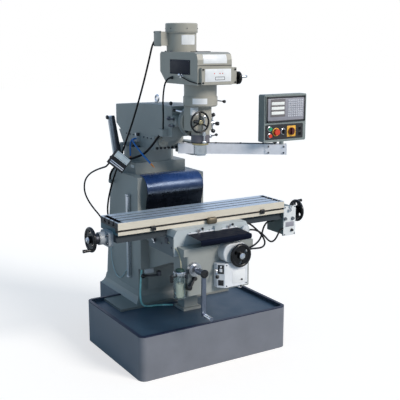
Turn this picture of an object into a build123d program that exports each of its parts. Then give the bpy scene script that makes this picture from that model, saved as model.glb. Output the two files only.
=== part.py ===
from build123d import *
import os
from math import cos, pi, radians, sin, tan

os.makedirs("parts", exist_ok=True)

# Turret milling machine with a variable-speed head, power feeds on two axes, a digital
# readout console on a swinging arm and a work lamp. Millimetres, +Z up, +X to the operator's
# right, the operator stands on the -Y side. The origin is on the floor, under the middle of
# the chip tray.

# Clearances
way_gap = 0.3        # between flat sliding ways
run_gap = 0.05       # radial, shafts and pins in their bores
pass_gap = 0.5       # curved faces of two bodies that pass each other

# Chip tray and plinth
tray_width = 1130
tray_depth = 845
tray_height = 297
tray_corner = 45
tray_wall = 22
tray_floor = 274
base_wall = 10
floor_plate = 12
bottom_plate = 8
platform_width = 880
platform_front = 120
platform_top = 290
plinth_lip = 4

# Column
column_front = 190
column_half_low = 267
column_half_high = 262
column_side_low = 540
column_side_high = 425
column_back_low = 600
column_back_high = 555
column_back_half = 140
column_top = 1177
column_wall = 18
foot_flare = 35
foot_rise = 80
neck_half = 200
neck_front = 340
neck_depth = 370
neck_chamfer = 70
neck_top = 1253
swivel_y = 525
ring_radius = 179
ring_top = 1326
spigot_radius = 60
spigot_depth = 40
way_root_half = 180
way_front_half = 210
way_depth = 30
way_low = 380
way_high = 1150

# Elevating screw and its pedestal
screw_y = -31
pedestal_width = 104
pedestal_depth = 92
pedestal_height = 146
pedestal_flange = 18
elevating_radius = 19
elevating_foot = 80
screw_boss = 60

# Rubber way cover over the front of the column
cover_half = 225
cover_sheet = 4
cover_back = 268
cover_stand_off = 9
cover_bulge = 33
cover_bulge_high = 1135
cover_bulge_low = 1088
cover_bulge_foot = 985

# Knee
knee_half = 238
knee_front = -435
knee_top = 818
knee_way_half = 262
knee_way_height = 48
knee_flange_half = 300
knee_flange_front = 84
knee_flange_low = 560
knee_belly_y = -240
knee_belly_z = 687
knee_box_back = -262
knee_box_low = 510
knee_wall = 28
knee_deck = 48
knee_round = 14

# Knee crank and lock
crank_x = -195
crank_z = 688
crank_shaft_radius = 11
crank_dial_radius = 45
crank_dial_length = 27
crank_plane_y = -560
crank_bar = 14
crank_length = 268
crank_grip_radius = 13
crank_grip_length = 95
knee_lock_x = -192
knee_lock_z = 626
knee_lock_hub = 13
knee_lock_length = 24
knee_lock_reach = 46
knee_lock_drop = 50
knee_lock_stem = 8
knee_lock_knob = 14

# Cross feed screw, its power feed and handwheel
cross_x = 101
cross_z = 753
cross_radius = 12
cross_end = 66
cross_feed_low = 706
cross_feed_high = 831
cross_feed_left = -14
cross_feed_right = 172
cross_feed_front = -505
cross_dial_radius = 36
cross_wheel_y = -530
cross_wheel_radius = 78
feed_box_left = -5
feed_box_right = 172
feed_box_low = 548
feed_box_high = 705
feed_box_front = -508
feed_box_slant = 36
feed_box_round = 5
feed_gear_round = 8
box_gland_inset = 38
box_gland_radius = 13
box_gland_length = 26
y_lever_drop = 45
y_lever_tip = (-14, -26, -33)
y_lever_knob = 11
long_gland_y = -455
saddle_gland_y = -480

# Lubricant jar on the knee
jar_x = -282
jar_y = -417
jar_low = 504
jar_height = 190
jar_radius = 40

# Saddle
saddle_top = 921.7
saddle_half_top = 262
saddle_half = 292
saddle_front = -350
saddle_back = 30
saddle_leg_back = -20
saddle_leg_low = 756
saddle_shoulder = 872
nut_width = 40
nut_length = 44
cross_nut_y = -120
saddle_reach = 200
feed_relief = 3
saddle_socket_y = -305
saddle_socket_z = 892

# Front way guard on the saddle
guard_half = 195
guard_back_z = 891
guard_front_y = -525
guard_front_z = 884
guard_thick = 38
guard_steps = 5

# Table locks and their stop block
lock_left_x = -112
lock_right_x = 118
lock_z = 905
lock_tip = (26, -20, 13)
lock_knob = 7.5
stop_left = 6
stop_right = 58
stop_out = 20
stop_drop = 14

# Table
table_length = 1270
table_width = 254
table_y = -150
table_top = 1002
table_thick = 80
slot_pitch = 63.5
slot_mouth = 16
slot_head = 28
slot_mouth_depth = 18
slot_head_depth = 12
trough_length = 42
trough_depth = 14
front_groove = 12
front_groove_z = 950
table_way_root = 80
table_way_foot = 108
table_way_depth = 50
channel_half = 26

# Table screw, brackets and handwheels
screw_z = 889
screw_radius = 12.5
left_bracket_length = 32
left_bracket_width = 120
left_dial_radius = 40
left_dial_length = 46
left_wheel_x = -762
left_bracket_round = 18
left_bracket_lip = 12
wheel_radius = 80
feed_unit_length = 103
feed_unit_low = 752
feed_unit_back = -85
feed_panel_top = 964
feed_panel_thick = 16
feed_dial_length = 50
feed_unit_step = 10
feed_unit_rise = 28
feed_lever_x = 681
feed_lever_z = 936
x_lever_tip = (14, -22, 44)
x_lever_knob = 9
right_wheel_x = 846

# Handwheel rims
rim_radius = 11
web_thick = 9
hub_radius = 24
hub_length = 36
grip_length = 68
grip_root = 7
grip_end = 11
left_grip_turn = 215
right_grip_turn = 25

# Small levers
lever_pin_radius = 5
lever_pin_depth = 16
lever_hub_radius = 11
lever_hub_length = 15
lever_stem = 4.5
lever_taper = 0.85

# Turret
turret_flange = 26
bed_half = 115
bed_front = 215
bed_back_low = 704
bed_back_high = 777
bed_top = 1449
ram_way_root = 55
ram_way_foot = 78
ram_way_depth = 40

# Ram
ram_front = -30
ram_nose_low = 1471
ram_low_start = 200
ram_low_end = 745
ram_back = 820
ram_back_low = 1494
ram_back_top = 1633
ram_mid_y = 526
ram_mid_top = 1657
ram_top_start = 237
ram_top = 1671
ram_wall = 24
ram_hollow_start = 97
ram_cap_depth = 22
eye_y = 385
eye_shank = 9
eye_ring = 22
eye_wire = 7.2
eye_collar = 9

# Knuckle between ram and head
nod_y = -45
nod_z = 1576
nod_pin_radius = 16
nod_cheek_radius = 38
nod_tongue_half = 70
knuckle_disc_radius = 100
knuckle_disc_back = -86
knuckle_disc_front = -110
tilt_pin_radius = 30
tilt_pin_length = 18

# Head
spindle_y = -201
quill_radius = 43
quill_low = 1371
quill_top = 1661
head_left = 92
head_right = 66
head_front = -244
head_back = -136
head_low = 1527
head_top = 1681
barrel_radius = 60
barrel_low = 1446
head_flange_radius = 98
head_round = 18
gear_radius = 110
gear_top = 1821
gear_waist_z = 1743
gear_waist_radius = 105
gear_chamfer = 8
belt_half_left = 120
belt_half_right = 130
belt_back = 112
belt_front = -365
belt_low = 1821
belt_high = 2021
belt_nose = 45
belt_cut_y = 82
belt_cut_z = 75
belt_wall = 8
panel_half_left = 105
panel_half_right = 150
panel_low = 1825
panel_high = 1929
panel_thick = 24
pulley_low = 1916
pulley_height = 60
pulley_radius = 70
pulley_hub_radius = 30
motor_pulley_radius = 52
belt_thick = 9
belt_gap = 0.4
belt_inset = 8
pulley_hub_drop = 30

# Motor
motor_y = 36
motor_radius = 98
motor_body_high = 2149
motor_cap_radius = 106
motor_cap_high = 2203
motor_cap_round = 8
motor_shaft_radius = 14
motor_box_left = -152
motor_box_depth = 90
motor_box_low = 2059

# Spindle
spindle_radius = 30
spindle_nose_low = 1363
spindle_bore_radius = 12.05
spindle_bore_length = 120
spindle_stem_radius = 14
spindle_stem_top = 2009
nose_flange = 5
quill_chamfer = 3

# Quill feed controls
capstan_y = -147
capstan_z = 1561
capstan_shaft_radius = 8
capstan_hub_radius = 19
capstan_reach = 52
capstan_knob_radius = 10
capstan_turn = 0
capstan_boss_radius = 24
capstan_hub_length = 30
capstan_spoke_out = 20
capstan_spoke_radius = 5
capstan_knob_out = 32
fine_wheel_x = -66
fine_wheel_y = -304
fine_wheel_z = 1589
fine_wheel_radius = 70
fine_rim_radius = 6
fine_hub_radius = 18
fine_hub_length = 22
fine_spoke_width = 10
fine_shaft_radius = 8
fine_shaft_depth = 21
fine_collar_radius = 13
quill_lock_y = -211
quill_lock_z = 1483
quill_lock_tip = (26, -48, 14)
quill_lock_knob = 8
speed_wheel_x = 168
speed_wheel_z = 1863
speed_wheel_radius = 40
speed_wheel_thick = 14
speed_shaft_radius = 6
speed_grip_y = -26
speed_grip_z = 8
speed_grip_length = 50
speed_grip_root = 5
speed_grip_end = 7
hi_lo_z = 1713
hi_lo_tip = (40, -51, -6)
hi_lo_knob = 9

# Pendant arm and console
arm_pivot_x = 160
arm_pivot_y = 103
arm_angle = -35.8
arm_low = 1328
arm_high = 1396
arm_tube = 65
arm_wall = 5
arm_stub = 128
arm_block_start = 470
arm_reach = 615
arm_post = 580
arm_pin_radius = 15
arm_eye = 40
arm_plate = 12
arm_block_extra = 8
bracket_front = 235
bracket_back = 330
bracket_web = 20
console_left = 470
console_right = 826
console_front = -252
console_back = -186
console_low = 1417
console_high = 1737
console_round = 10
screen_low = 1549
bezel_inset = 8
bezel_out = 6
console_hole_depth = 26
button_travel = 5
button_plunger = 11
button_depth = 18
button_radius = 13
button_length = 8
stop_radius = 21
stop_length = 14
switch_stem = 8
switch_depth = 20
switch_skirt = 10
switch_grip_out = 12
main_skirt_radius = 26
main_grip = 44
selector_skirt_radius = 17
selector_grip = 30
button_row_low = 1461
button_row_middle = 1484
button_row_high = 1507
switch_x = 700
selector_x = 632
stop_x = 570
button_x = 517

# Work lamp
lamp_x = -250
lamp_base_y = 505
lamp_base_z = 1311
lamp_bracket_rise = 10
lamp_elbow_y = 601
lamp_elbow_z = 1557
lamp_bar = 22
lamp_neck_y = 515
lamp_neck_z = 1279
lamp_plate = 16
lamp_pin_radius = 7
lamp_face_width = 126
lamp_face_height = 112
lamp_depth = 30
lamp_face = (-320, 355, 1277)
lamp_level = (0.854, -0.521, 0)
lamp_facing = (-0.51, -0.836, 0.204)
lamp_lean = 38

# Cords
motor_cord = 13
head_cord = 11
column_hose = 16
lamp_cord = 9
feed_cord = 9
drain_hose_size = 13
coolant_hose = 13
cord_gap = 0.5
gland_radius = 11
gland_out = 29
gland_rise = 16
motor_gland_y = 623
motor_gland_z = 819
hose_gland_y = 574
hose_gland_z = 1112
lamp_gland_y = 660
lamp_gland_z = 690
feed_gland_length = 9
feed_gland_radius = 8
cord_block_out = 40
cord_block_front = 24
cord_block_high = 1516
cord_block_low = 1471
cord_block_foot = 72
cord_block_back = 98
cord_block_bend = 1501
cord_block_top = 92
valve_front = 432
valve_length = 52
valve_low = 1391
valve_height = 38
valve_depth = 20
link_step = 9
link_flare = 1.8
nozzle_length = 30
nozzle_radius = 6
nozzle_tip = 3

# Worked out from the sizes above
tray_back = tray_depth / 2
tray_inner_back = tray_back - tray_wall
floor_low = tray_floor - floor_plate
way_front = column_front - way_depth
knee_back = column_front - way_gap
knee_way_low = knee_top - knee_way_height
pedestal_top = tray_floor + pedestal_height
table_low = table_top - table_thick
table_front = table_y - table_width / 2
table_back = table_y + table_width / 2
table_end = table_length / 2
table_way_low = table_low - table_way_depth
saddle_low = knee_top + way_gap
turret_low = ring_top + way_gap
bed_low = turret_low + turret_flange
ram_low = bed_top + way_gap
ram_half = bed_half
speed_wheel_y = belt_front - panel_thick / 2
bracket_low = arm_low - way_gap - arm_plate
bracket_high = arm_high + way_gap + arm_plate
gland_axis = -column_half_high - gland_out
feed_gland_x = cross_feed_right + feed_gland_length
FORWARD = (0, -1, 0)
LEFTWARD = (-1, 0, 0)
RIGHTWARD = (1, 0, 0)


def block(x, y, z, mode=Mode.ADD):
    """A box between two limits on each axis."""
    with Locations(((x[0] + x[1]) / 2, (y[0] + y[1]) / 2, (z[0] + z[1]) / 2)):
        Box(x[1] - x[0], y[1] - y[0], z[1] - z[0], mode=mode)


def rod(start, end, radius, mode=Mode.ADD, end_radius=None):
    """A round bar, or a tapered one, between two points."""
    axis = Vector(*end) - Vector(*start)
    middle = Plane(origin=(Vector(*start) + Vector(*end)) / 2, z_dir=axis)
    with Locations(middle):
        if end_radius is None:
            Cylinder(radius, axis.length, mode=mode)
        else:
            Cone(radius, end_radius, axis.length, mode=mode)


def ball(centre, radius):
    """A round knob."""
    with Locations(centre):
        Sphere(radius)


def lever_bore(seat, outward, depth=lever_pin_depth):
    """The bore that a lever's pin runs in, sunk from its seat."""
    rod(seat, Vector(*seat) - Vector(*outward) * (depth + 1), lever_pin_radius + run_gap, Mode.SUBTRACT)


def lever(seat, outward, tip, knob_radius, depth=lever_pin_depth):
    """A lever: a pin sunk in its seat, a hub standing out of it and a tapered arm to a round knob."""
    face = Vector(*seat)
    heading = Vector(*outward)
    knob_place = face + Vector(*tip)
    hub_end = face + heading * lever_hub_length
    rod(face - heading * depth, hub_end, lever_pin_radius)
    rod(face + heading * way_gap, hub_end, lever_hub_radius)
    rod(face + heading * lever_hub_length / 2, knob_place, lever_stem, end_radius=lever_taper * lever_stem)
    ball(knob_place, knob_radius)


def prism(plane, points, amount, mode=Mode.ADD):
    """A polygon drawn on a plane and extruded from it."""
    with BuildSketch(plane) as outline:
        Polygon(*points, align=None)
    extrude(outline.sketch, amount=amount, mode=mode)


def side_prism(x, points, mode=Mode.ADD):
    """A polygon in Y and Z, extruded between two values of X."""
    prism(Plane.YZ.offset(x[0]), points, x[1] - x[0], mode)


def front_prism(y, points, mode=Mode.ADD):
    """A polygon in X and Z, extruded between two values of Y."""
    prism(Plane.XZ.offset(-y[1]), points, y[1] - y[0], mode)


def level_prism(z, points, mode=Mode.ADD):
    """A polygon in X and Y, extruded between two heights."""
    prism(Plane.XY.offset(z[0]), points, z[1] - z[0], mode)


def mirrored(points):
    """Points on the right side, followed by their mirror images on the left."""
    return list(points) + [(-x, y) for x, y in reversed(points)]


def handwheel(plane, radius, bore, holes=3):
    """A dished cast handwheel round the plane's Z axis, with a blind bore for its shaft."""
    hole_radius = (radius - rim_radius - hub_radius) * 0.28
    with Locations(plane):
        Cylinder(radius - rim_radius, web_thick)
        Torus(radius - rim_radius, rim_radius)
        Cylinder(hub_radius, hub_length)
    with Locations(plane):
        with PolarLocations((radius - rim_radius + hub_radius) / 2, holes):
            Cylinder(hole_radius, 2 * web_thick, mode=Mode.SUBTRACT)
    with Locations(plane.offset(-hub_length / 2)):
        Cylinder(bore + run_gap, hub_length, mode=Mode.SUBTRACT)


def cord(name, points, diameter):
    """A round cord along a path of runs and arcs."""
    path, radii = cord_path(points)
    with BuildSketch(Plane(origin=path @ 0, z_dir=path % 0)) as section:
        Circle(diameter / 2)
    tube = sweep(section.sketch, path=path, mode=Mode.PRIVATE)
    expected = path.length * pi * diameter**2 / 4
    print(f"{name}: length {path.length:.0f}, least radius {min(radii):.0f} = "
          f"{min(radii) / diameter:.1f} diameters, volume share {tube.volume / expected:.4f}")
    return tube


def cord_path(points):
    """Straight runs joined by the largest tangent arcs that they allow, and the arcs' radii."""
    corners = [Vector(*point) for point in points]
    runs = [after - before for before, after in zip(corners, corners[1:])]
    radii = []
    for before, after in zip(runs, runs[1:]):
        turn = before.get_angle(after)
        radii.append(0.45 * min(before.length, after.length) / tan(radians(turn / 2)))
    return FilletPolyline(*points, radius=radii, mode=Mode.PRIVATE), radii


def cord_links(name, points, step):
    """Evenly spaced places along a jointed hose."""
    path, radii = cord_path(points)
    count = round(path.length / step)
    print(f"{name}: length {path.length:.0f}, least radius {min(radii):.0f}, {count} links")
    return [path.position_at(link / count) for link in range(count + 1)]


def finish(builder, name):
    """Label a finished piece and write its file."""
    builder.part.label = name
    export_step(builder.part, f"parts/{name}.step")


def column_outline(half, front, side_depth, back_depth, back_half):
    """The column's six-sided plan at one height, measured from the datum at the given front."""
    return mirrored([
        (half, front),
        (half, column_front + side_depth),
        (back_half, column_front + back_depth),
    ])


# Chip tray: a hollow casting with a sunk floor, a raised platform and a plinth for the column
plinth_outline = column_outline(column_half_low + foot_flare + plinth_lip, tray_inner_back,
                                column_side_low + foot_flare + plinth_lip,
                                column_back_low + foot_flare + plinth_lip,
                                column_back_half + foot_flare)
plinth_hollow = column_outline(column_half_low, tray_back,
                               column_side_low, column_back_low, column_back_half)
notch_half = column_half_low + foot_flare + plinth_lip
with BuildPart() as base_tray:
    with BuildSketch():
        RectangleRounded(tray_width, tray_depth, tray_corner)
    extrude(amount=tray_height)
    with BuildSketch(Plane.XY.offset(tray_floor)):
        RectangleRounded(tray_width - 2 * tray_wall, tray_depth - 2 * tray_wall,
                         tray_corner - tray_wall)
    extrude(amount=tray_height - tray_floor, mode=Mode.SUBTRACT)
    block((-platform_width / 2, platform_width / 2), (platform_front, tray_inner_back),
          (tray_floor, platform_top))
    level_prism((0, platform_top), plinth_outline)
    block((-notch_half, notch_half), (tray_inner_back, tray_back), (platform_top, tray_height),
          Mode.SUBTRACT)
    with BuildSketch(Plane.XY.offset(bottom_plate)):
        RectangleRounded(tray_width - 2 * base_wall, tray_depth - 2 * base_wall,
                         tray_corner - base_wall)
    extrude(amount=floor_low - bottom_plate, mode=Mode.SUBTRACT)
    block((base_wall - platform_width / 2, platform_width / 2 - base_wall),
          (platform_front + base_wall, tray_inner_back), (bottom_plate, platform_top - floor_plate),
          Mode.SUBTRACT)
    level_prism((bottom_plate, platform_top - floor_plate), plinth_hollow, Mode.SUBTRACT)
    rod((0, screw_y, floor_low), (0, screw_y, tray_floor), elevating_radius + tray_wall, Mode.SUBTRACT)
finish(base_tray, "base_tray")

# Column: tapered hollow casting with a flared foot, a neck block and the swivel ring on top
with BuildPart() as column:
    with BuildSketch(Plane.XY.offset(platform_top)):
        Polygon(*column_outline(column_half_low, column_front, column_side_low,
                                column_back_low, column_back_half), align=None)
    with BuildSketch(Plane.XY.offset(column_top)):
        Polygon(*column_outline(column_half_high, column_front, column_side_high,
                                column_back_high, column_back_half), align=None)
    loft(ruled=True)
    for rise, flare in ((0, 1), (0.25, 0.5), (0.55, 0.18), (1, 0)):
        with BuildSketch(Plane.XY.offset(platform_top + rise * foot_rise)):
            Polygon(*column_outline(column_half_low + flare * foot_flare,
                                    column_front - flare * foot_flare,
                                    column_side_low + flare * foot_flare,
                                    column_back_low + flare * foot_flare,
                                    column_back_half + flare * foot_flare), align=None)
    loft(ruled=True)
    neck_back = neck_front + neck_depth
    level_prism((column_top, neck_top), mirrored([
        (neck_half, neck_front), (neck_half, neck_back - neck_chamfer),
        (neck_half - neck_chamfer, neck_back)]))
    rod((0, swivel_y, neck_top), (0, swivel_y, ring_top), ring_radius)
    level_prism((way_low, way_high), mirrored([
        (way_root_half, column_front), (way_front_half, way_front)]))
    with BuildSketch(Plane.XY.offset(platform_top)):
        Polygon(*column_outline(column_half_low - column_wall, column_front + column_wall,
                                column_side_low - column_wall, column_back_low - column_wall,
                                column_back_half), align=None)
    with BuildSketch(Plane.XY.offset(column_top - column_wall)):
        Polygon(*column_outline(column_half_high - column_wall, column_front + column_wall,
                                column_side_high - column_wall, column_back_high - column_wall,
                                column_back_half), align=None)
    loft(ruled=True, mode=Mode.SUBTRACT)
    rod((0, swivel_y, column_top - 2 * column_wall), (0, swivel_y, ring_top - spigot_depth),
        2 * spigot_radius, Mode.SUBTRACT)
    rod((0, swivel_y, ring_top - spigot_depth), (0, swivel_y, ring_top),
        spigot_radius + run_gap, Mode.SUBTRACT)
    for gland_y, gland_z in ((motor_gland_y, motor_gland_z), (hose_gland_y, hose_gland_z),
                             (lamp_gland_y, lamp_gland_z)):
        elbow = (gland_axis, gland_y, gland_z - gland_rise)
        rod((gland_axis + gland_out, gland_y, gland_z - gland_rise), elbow, gland_radius)
        ball(elbow, gland_radius)
        rod(elbow, (gland_axis, gland_y, gland_z), gland_radius)
finish(column, "column")

# Pedestal: square post on the tray floor that holds the nut of the elevating screw
with BuildPart() as screw_pedestal:
    with Locations((0, screw_y, tray_floor + pedestal_flange / 2)):
        Box(pedestal_width + 2 * pedestal_flange, pedestal_depth + 2 * pedestal_flange,
            pedestal_flange)
    with Locations((0, screw_y, tray_floor + pedestal_height / 2)):
        Box(pedestal_width, pedestal_depth, pedestal_height)
    chamfer(screw_pedestal.faces().sort_by(Axis.Z)[-1].edges(), pedestal_flange / 3)
    rod((0, screw_y, tray_floor), (0, screw_y, pedestal_top), elevating_radius + pass_gap,
        Mode.SUBTRACT)
finish(screw_pedestal, "screw_pedestal")

# Way cover: a rubber sheet that hangs over the top of the column's front ways
cover_front = way_front - cover_stand_off
cover_line = [
    (cover_back, column_top + cover_stand_off),
    (column_front, column_top + cover_stand_off),
    (cover_front - 0.8 * cover_bulge, cover_bulge_high),
    (cover_front - cover_bulge, cover_bulge_low),
    (cover_front, cover_bulge_foot),
    (cover_front, knee_top + way_gap),
]
with BuildPart() as way_cover:
    with BuildSketch(Plane.YZ.offset(-cover_half)) as cover_profile:
        with BuildLine():
            sheet_line = FilletPolyline(*cover_line, radius=2 * cover_stand_off)
            offset(sheet_line, amount=cover_sheet, side=Side.LEFT)
        make_face()
    extrude(amount=2 * cover_half)
finish(way_cover, "way_cover")

# Knee: hollow bracket with a dovetail at its back, level ways on top and a gear box in front
with BuildPart() as knee:
    side_prism((-knee_half, knee_half), [
        (knee_flange_front, knee_flange_low), (knee_belly_y, knee_belly_z),
        (knee_box_back, knee_belly_z), (knee_box_back, knee_box_low),
        (knee_front, knee_box_low), (knee_front, knee_way_low),
        (knee_flange_front, knee_way_low)])
    front_lip = knee.edges().filter_by(Axis.Z).group_by(Axis.Y)[0]
    fillet(front_lip, knee_round)
    block((-knee_way_half, knee_way_half), (knee_front, knee_flange_front),
          (knee_way_low, knee_top))
    block((-knee_flange_half, knee_flange_half), (knee_flange_front, knee_back),
          (knee_flange_low, knee_top))
    level_prism((knee_flange_low, knee_top), mirrored([
        (way_root_half + 2 * way_gap, knee_back),
        (way_front_half + 2 * way_gap, way_front - way_gap)]), Mode.SUBTRACT)
    side_prism((knee_wall - knee_half, knee_half - knee_wall), [
        (knee_flange_front - knee_wall, knee_flange_low + 1.5 * knee_wall),
        (knee_belly_y, knee_belly_z + knee_wall), (knee_box_back - knee_wall, knee_belly_z + knee_wall),
        (knee_box_back - knee_wall, knee_box_low + knee_wall),
        (knee_front + knee_wall, knee_box_low + knee_wall),
        (knee_front + knee_wall, knee_top - knee_deck),
        (knee_flange_front - knee_wall, knee_top - knee_deck)], Mode.SUBTRACT)
    rod((0, screw_y, knee_top - knee_deck - screw_boss), (0, screw_y, knee_top - knee_deck),
        2.4 * elevating_radius)
    rod((0, screw_y, knee_flange_low), (0, screw_y, knee_top - knee_deck / 2),
        elevating_radius + run_gap, Mode.SUBTRACT)
    block((cross_x - nut_width / 2 - 4, cross_x + nut_width / 2 + 4),
          (saddle_front - 10, knee_flange_front - knee_wall), (cross_z, knee_top), Mode.SUBTRACT)
    rod((cross_x, knee_front, cross_z), (cross_x, knee_front + knee_wall, cross_z),
        cross_radius + run_gap, Mode.SUBTRACT)
    rod((cross_x, knee_flange_front - knee_wall, cross_z), (cross_x, cross_end + 4, cross_z),
        cross_radius + run_gap, Mode.SUBTRACT)
    rod((crank_x, knee_front, crank_z), (crank_x, knee_front + knee_wall, crank_z),
        crank_shaft_radius + run_gap, Mode.SUBTRACT)
    rod((knee_lock_x, knee_front, knee_lock_z), (knee_lock_x, knee_front + knee_wall, knee_lock_z),
        crank_shaft_radius + run_gap, Mode.SUBTRACT)
finish(knee, "knee")

# Elevating screw under the knee
with BuildPart() as elevating_screw:
    rod((0, screw_y, elevating_foot), (0, screw_y, knee_top - knee_deck / 2 - 1), elevating_radius)
finish(elevating_screw, "elevating_screw")

# Knee dial and crank on one shaft
with BuildPart() as knee_dial:
    rod((crank_x, knee_front - way_gap, crank_z),
        (crank_x, knee_front - crank_dial_length, crank_z), crank_dial_radius)
    rod((crank_x, knee_front - crank_dial_length, crank_z),
        (crank_x, knee_front - 1.4 * crank_dial_length, crank_z), 0.72 * crank_dial_radius)
    rod((crank_x, knee_front + knee_wall, crank_z),
        (crank_x, crank_plane_y - crank_bar, crank_z), crank_shaft_radius + run_gap, Mode.SUBTRACT)
finish(knee_dial, "knee_dial")

with BuildPart() as knee_crank:
    rod((crank_x, knee_front + knee_wall, crank_z), (crank_x, crank_plane_y, crank_z),
        crank_shaft_radius)
    rod((crank_x, knee_front - 2.2 * crank_dial_length, crank_z),
        (crank_x, crank_plane_y - crank_bar / 2, crank_z), 1.9 * crank_shaft_radius)
    block((crank_x - crank_bar, crank_x + crank_bar),
          (crank_plane_y - crank_bar / 2, crank_plane_y + crank_bar / 2),
          (crank_z - crank_length, crank_z))
    with Locations(Plane((crank_x, crank_plane_y, crank_z - crank_length), z_dir=(0, -1, 0))):
        Cylinder(crank_bar, crank_bar)
    rod((crank_x, crank_plane_y, crank_z - crank_length),
        (crank_x, crank_plane_y - crank_grip_length, crank_z - crank_length),
        0.75 * crank_grip_radius, end_radius=crank_grip_radius)
finish(knee_crank, "knee_crank")

# Lever that locks the knee
with BuildPart() as knee_lock_lever:
    lock_end = knee_front - knee_lock_length
    knee_lock_tip = (knee_lock_x - knee_lock_reach, lock_end, knee_lock_z - knee_lock_drop)
    rod((knee_lock_x, knee_front + knee_wall, knee_lock_z), (knee_lock_x, lock_end, knee_lock_z),
        crank_shaft_radius)
    rod((knee_lock_x, knee_front - way_gap, knee_lock_z), (knee_lock_x, lock_end, knee_lock_z),
        knee_lock_hub)
    rod((knee_lock_x, (knee_front + lock_end) / 2, knee_lock_z), knee_lock_tip, knee_lock_stem,
        end_radius=knee_lock_knob)
    ball(knee_lock_tip, knee_lock_knob)
finish(knee_lock_lever, "knee_lock_lever")

# Power feed gear box, control box and lubricant jar on the knee
with BuildPart() as y_feed_gearbox:
    feed_middle = ((cross_feed_left + cross_feed_right) / 2, (cross_feed_low + cross_feed_high) / 2)
    with BuildSketch(Plane.XZ.offset(-knee_front)):
        with Locations(feed_middle):
            RectangleRounded(cross_feed_right - cross_feed_left, cross_feed_high - cross_feed_low,
                             (cross_feed_high - cross_feed_low) / 2.1)
    extrude(amount=knee_front - cross_feed_front)
    fillet(y_feed_gearbox.faces().sort_by(Axis.Y)[0].edges(), feed_gear_round)
    rod((cross_x, knee_front, cross_z), (cross_x, cross_feed_front, cross_z),
        cross_radius + run_gap, Mode.SUBTRACT)
    for gland_y in (long_gland_y, saddle_gland_y):
        rod((cross_feed_right - feed_gland_length, gland_y, feed_middle[1]),
            (feed_gland_x, gland_y, feed_middle[1]), feed_gland_radius)
finish(y_feed_gearbox, "y_feed_gearbox")

with BuildPart() as y_feed_box:
    level_prism((feed_box_low, feed_box_high), [
        (feed_box_left - feed_box_slant, knee_front), (feed_box_right, knee_front),
        (feed_box_right, feed_box_front), (feed_box_left, feed_box_front),
        (feed_box_left - feed_box_slant, feed_box_front + feed_box_slant)])
    fillet(y_feed_box.edges().filter_by(Axis.Z).sort_by(Axis.Y)[:2], feed_box_round)
    box_gland_x = feed_box_right - box_gland_inset
    box_middle_y = (knee_front + feed_box_front) / 2
    rod((box_gland_x, box_middle_y, feed_box_low),
        (box_gland_x, box_middle_y, feed_box_low - box_gland_length), box_gland_radius)
    y_lever_seat = (feed_box_left - feed_box_slant, box_middle_y, feed_box_high - y_lever_drop)
    lever_bore(y_lever_seat, LEFTWARD)
finish(y_feed_box, "y_feed_box")

with BuildPart() as y_feed_lever:
    lever(y_lever_seat, LEFTWARD, y_lever_tip, y_lever_knob)
finish(y_feed_lever, "y_feed_lever")

with BuildPart() as lube_jar:
    rod((jar_x, jar_y, jar_low), (jar_x, jar_y, jar_low + 0.86 * jar_height), jar_radius)
    rod((jar_x, jar_y, jar_low + 0.86 * jar_height), (jar_x, jar_y, jar_low + 0.93 * jar_height),
        1.06 * jar_radius)
    rod((jar_x, jar_y, jar_low + 0.93 * jar_height), (jar_x, jar_y, jar_low + jar_height),
        0.7 * jar_radius)
    block((jar_x, -knee_half), (jar_y - 0.4 * jar_radius, jar_y + 0.4 * jar_radius),
          (jar_low + 0.7 * jar_height, jar_low + 0.82 * jar_height))
finish(lube_jar, "lube_jar")

# Cross feed screw and its handwheel
with BuildPart() as cross_screw:
    rod((cross_x, cross_end, cross_z), (cross_x, cross_wheel_y - hub_length / 4, cross_z), cross_radius)
    rod((cross_x, cross_feed_front - way_gap, cross_z),
        (cross_x, cross_wheel_y + hub_length / 2, cross_z), cross_dial_radius)
finish(cross_screw, "cross_screw")

with BuildPart() as y_handwheel:
    cross_wheel_plane = Plane((cross_x, cross_wheel_y, cross_z), z_dir=(0, -1, 0))
    handwheel(cross_wheel_plane, cross_wheel_radius, cross_radius)
    rod((cross_x, cross_wheel_y + hub_length / 2, cross_z),
        (cross_x, cross_wheel_y - hub_length / 4, cross_z), cross_radius + run_gap, Mode.SUBTRACT)
finish(y_handwheel, "y_handwheel")

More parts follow.
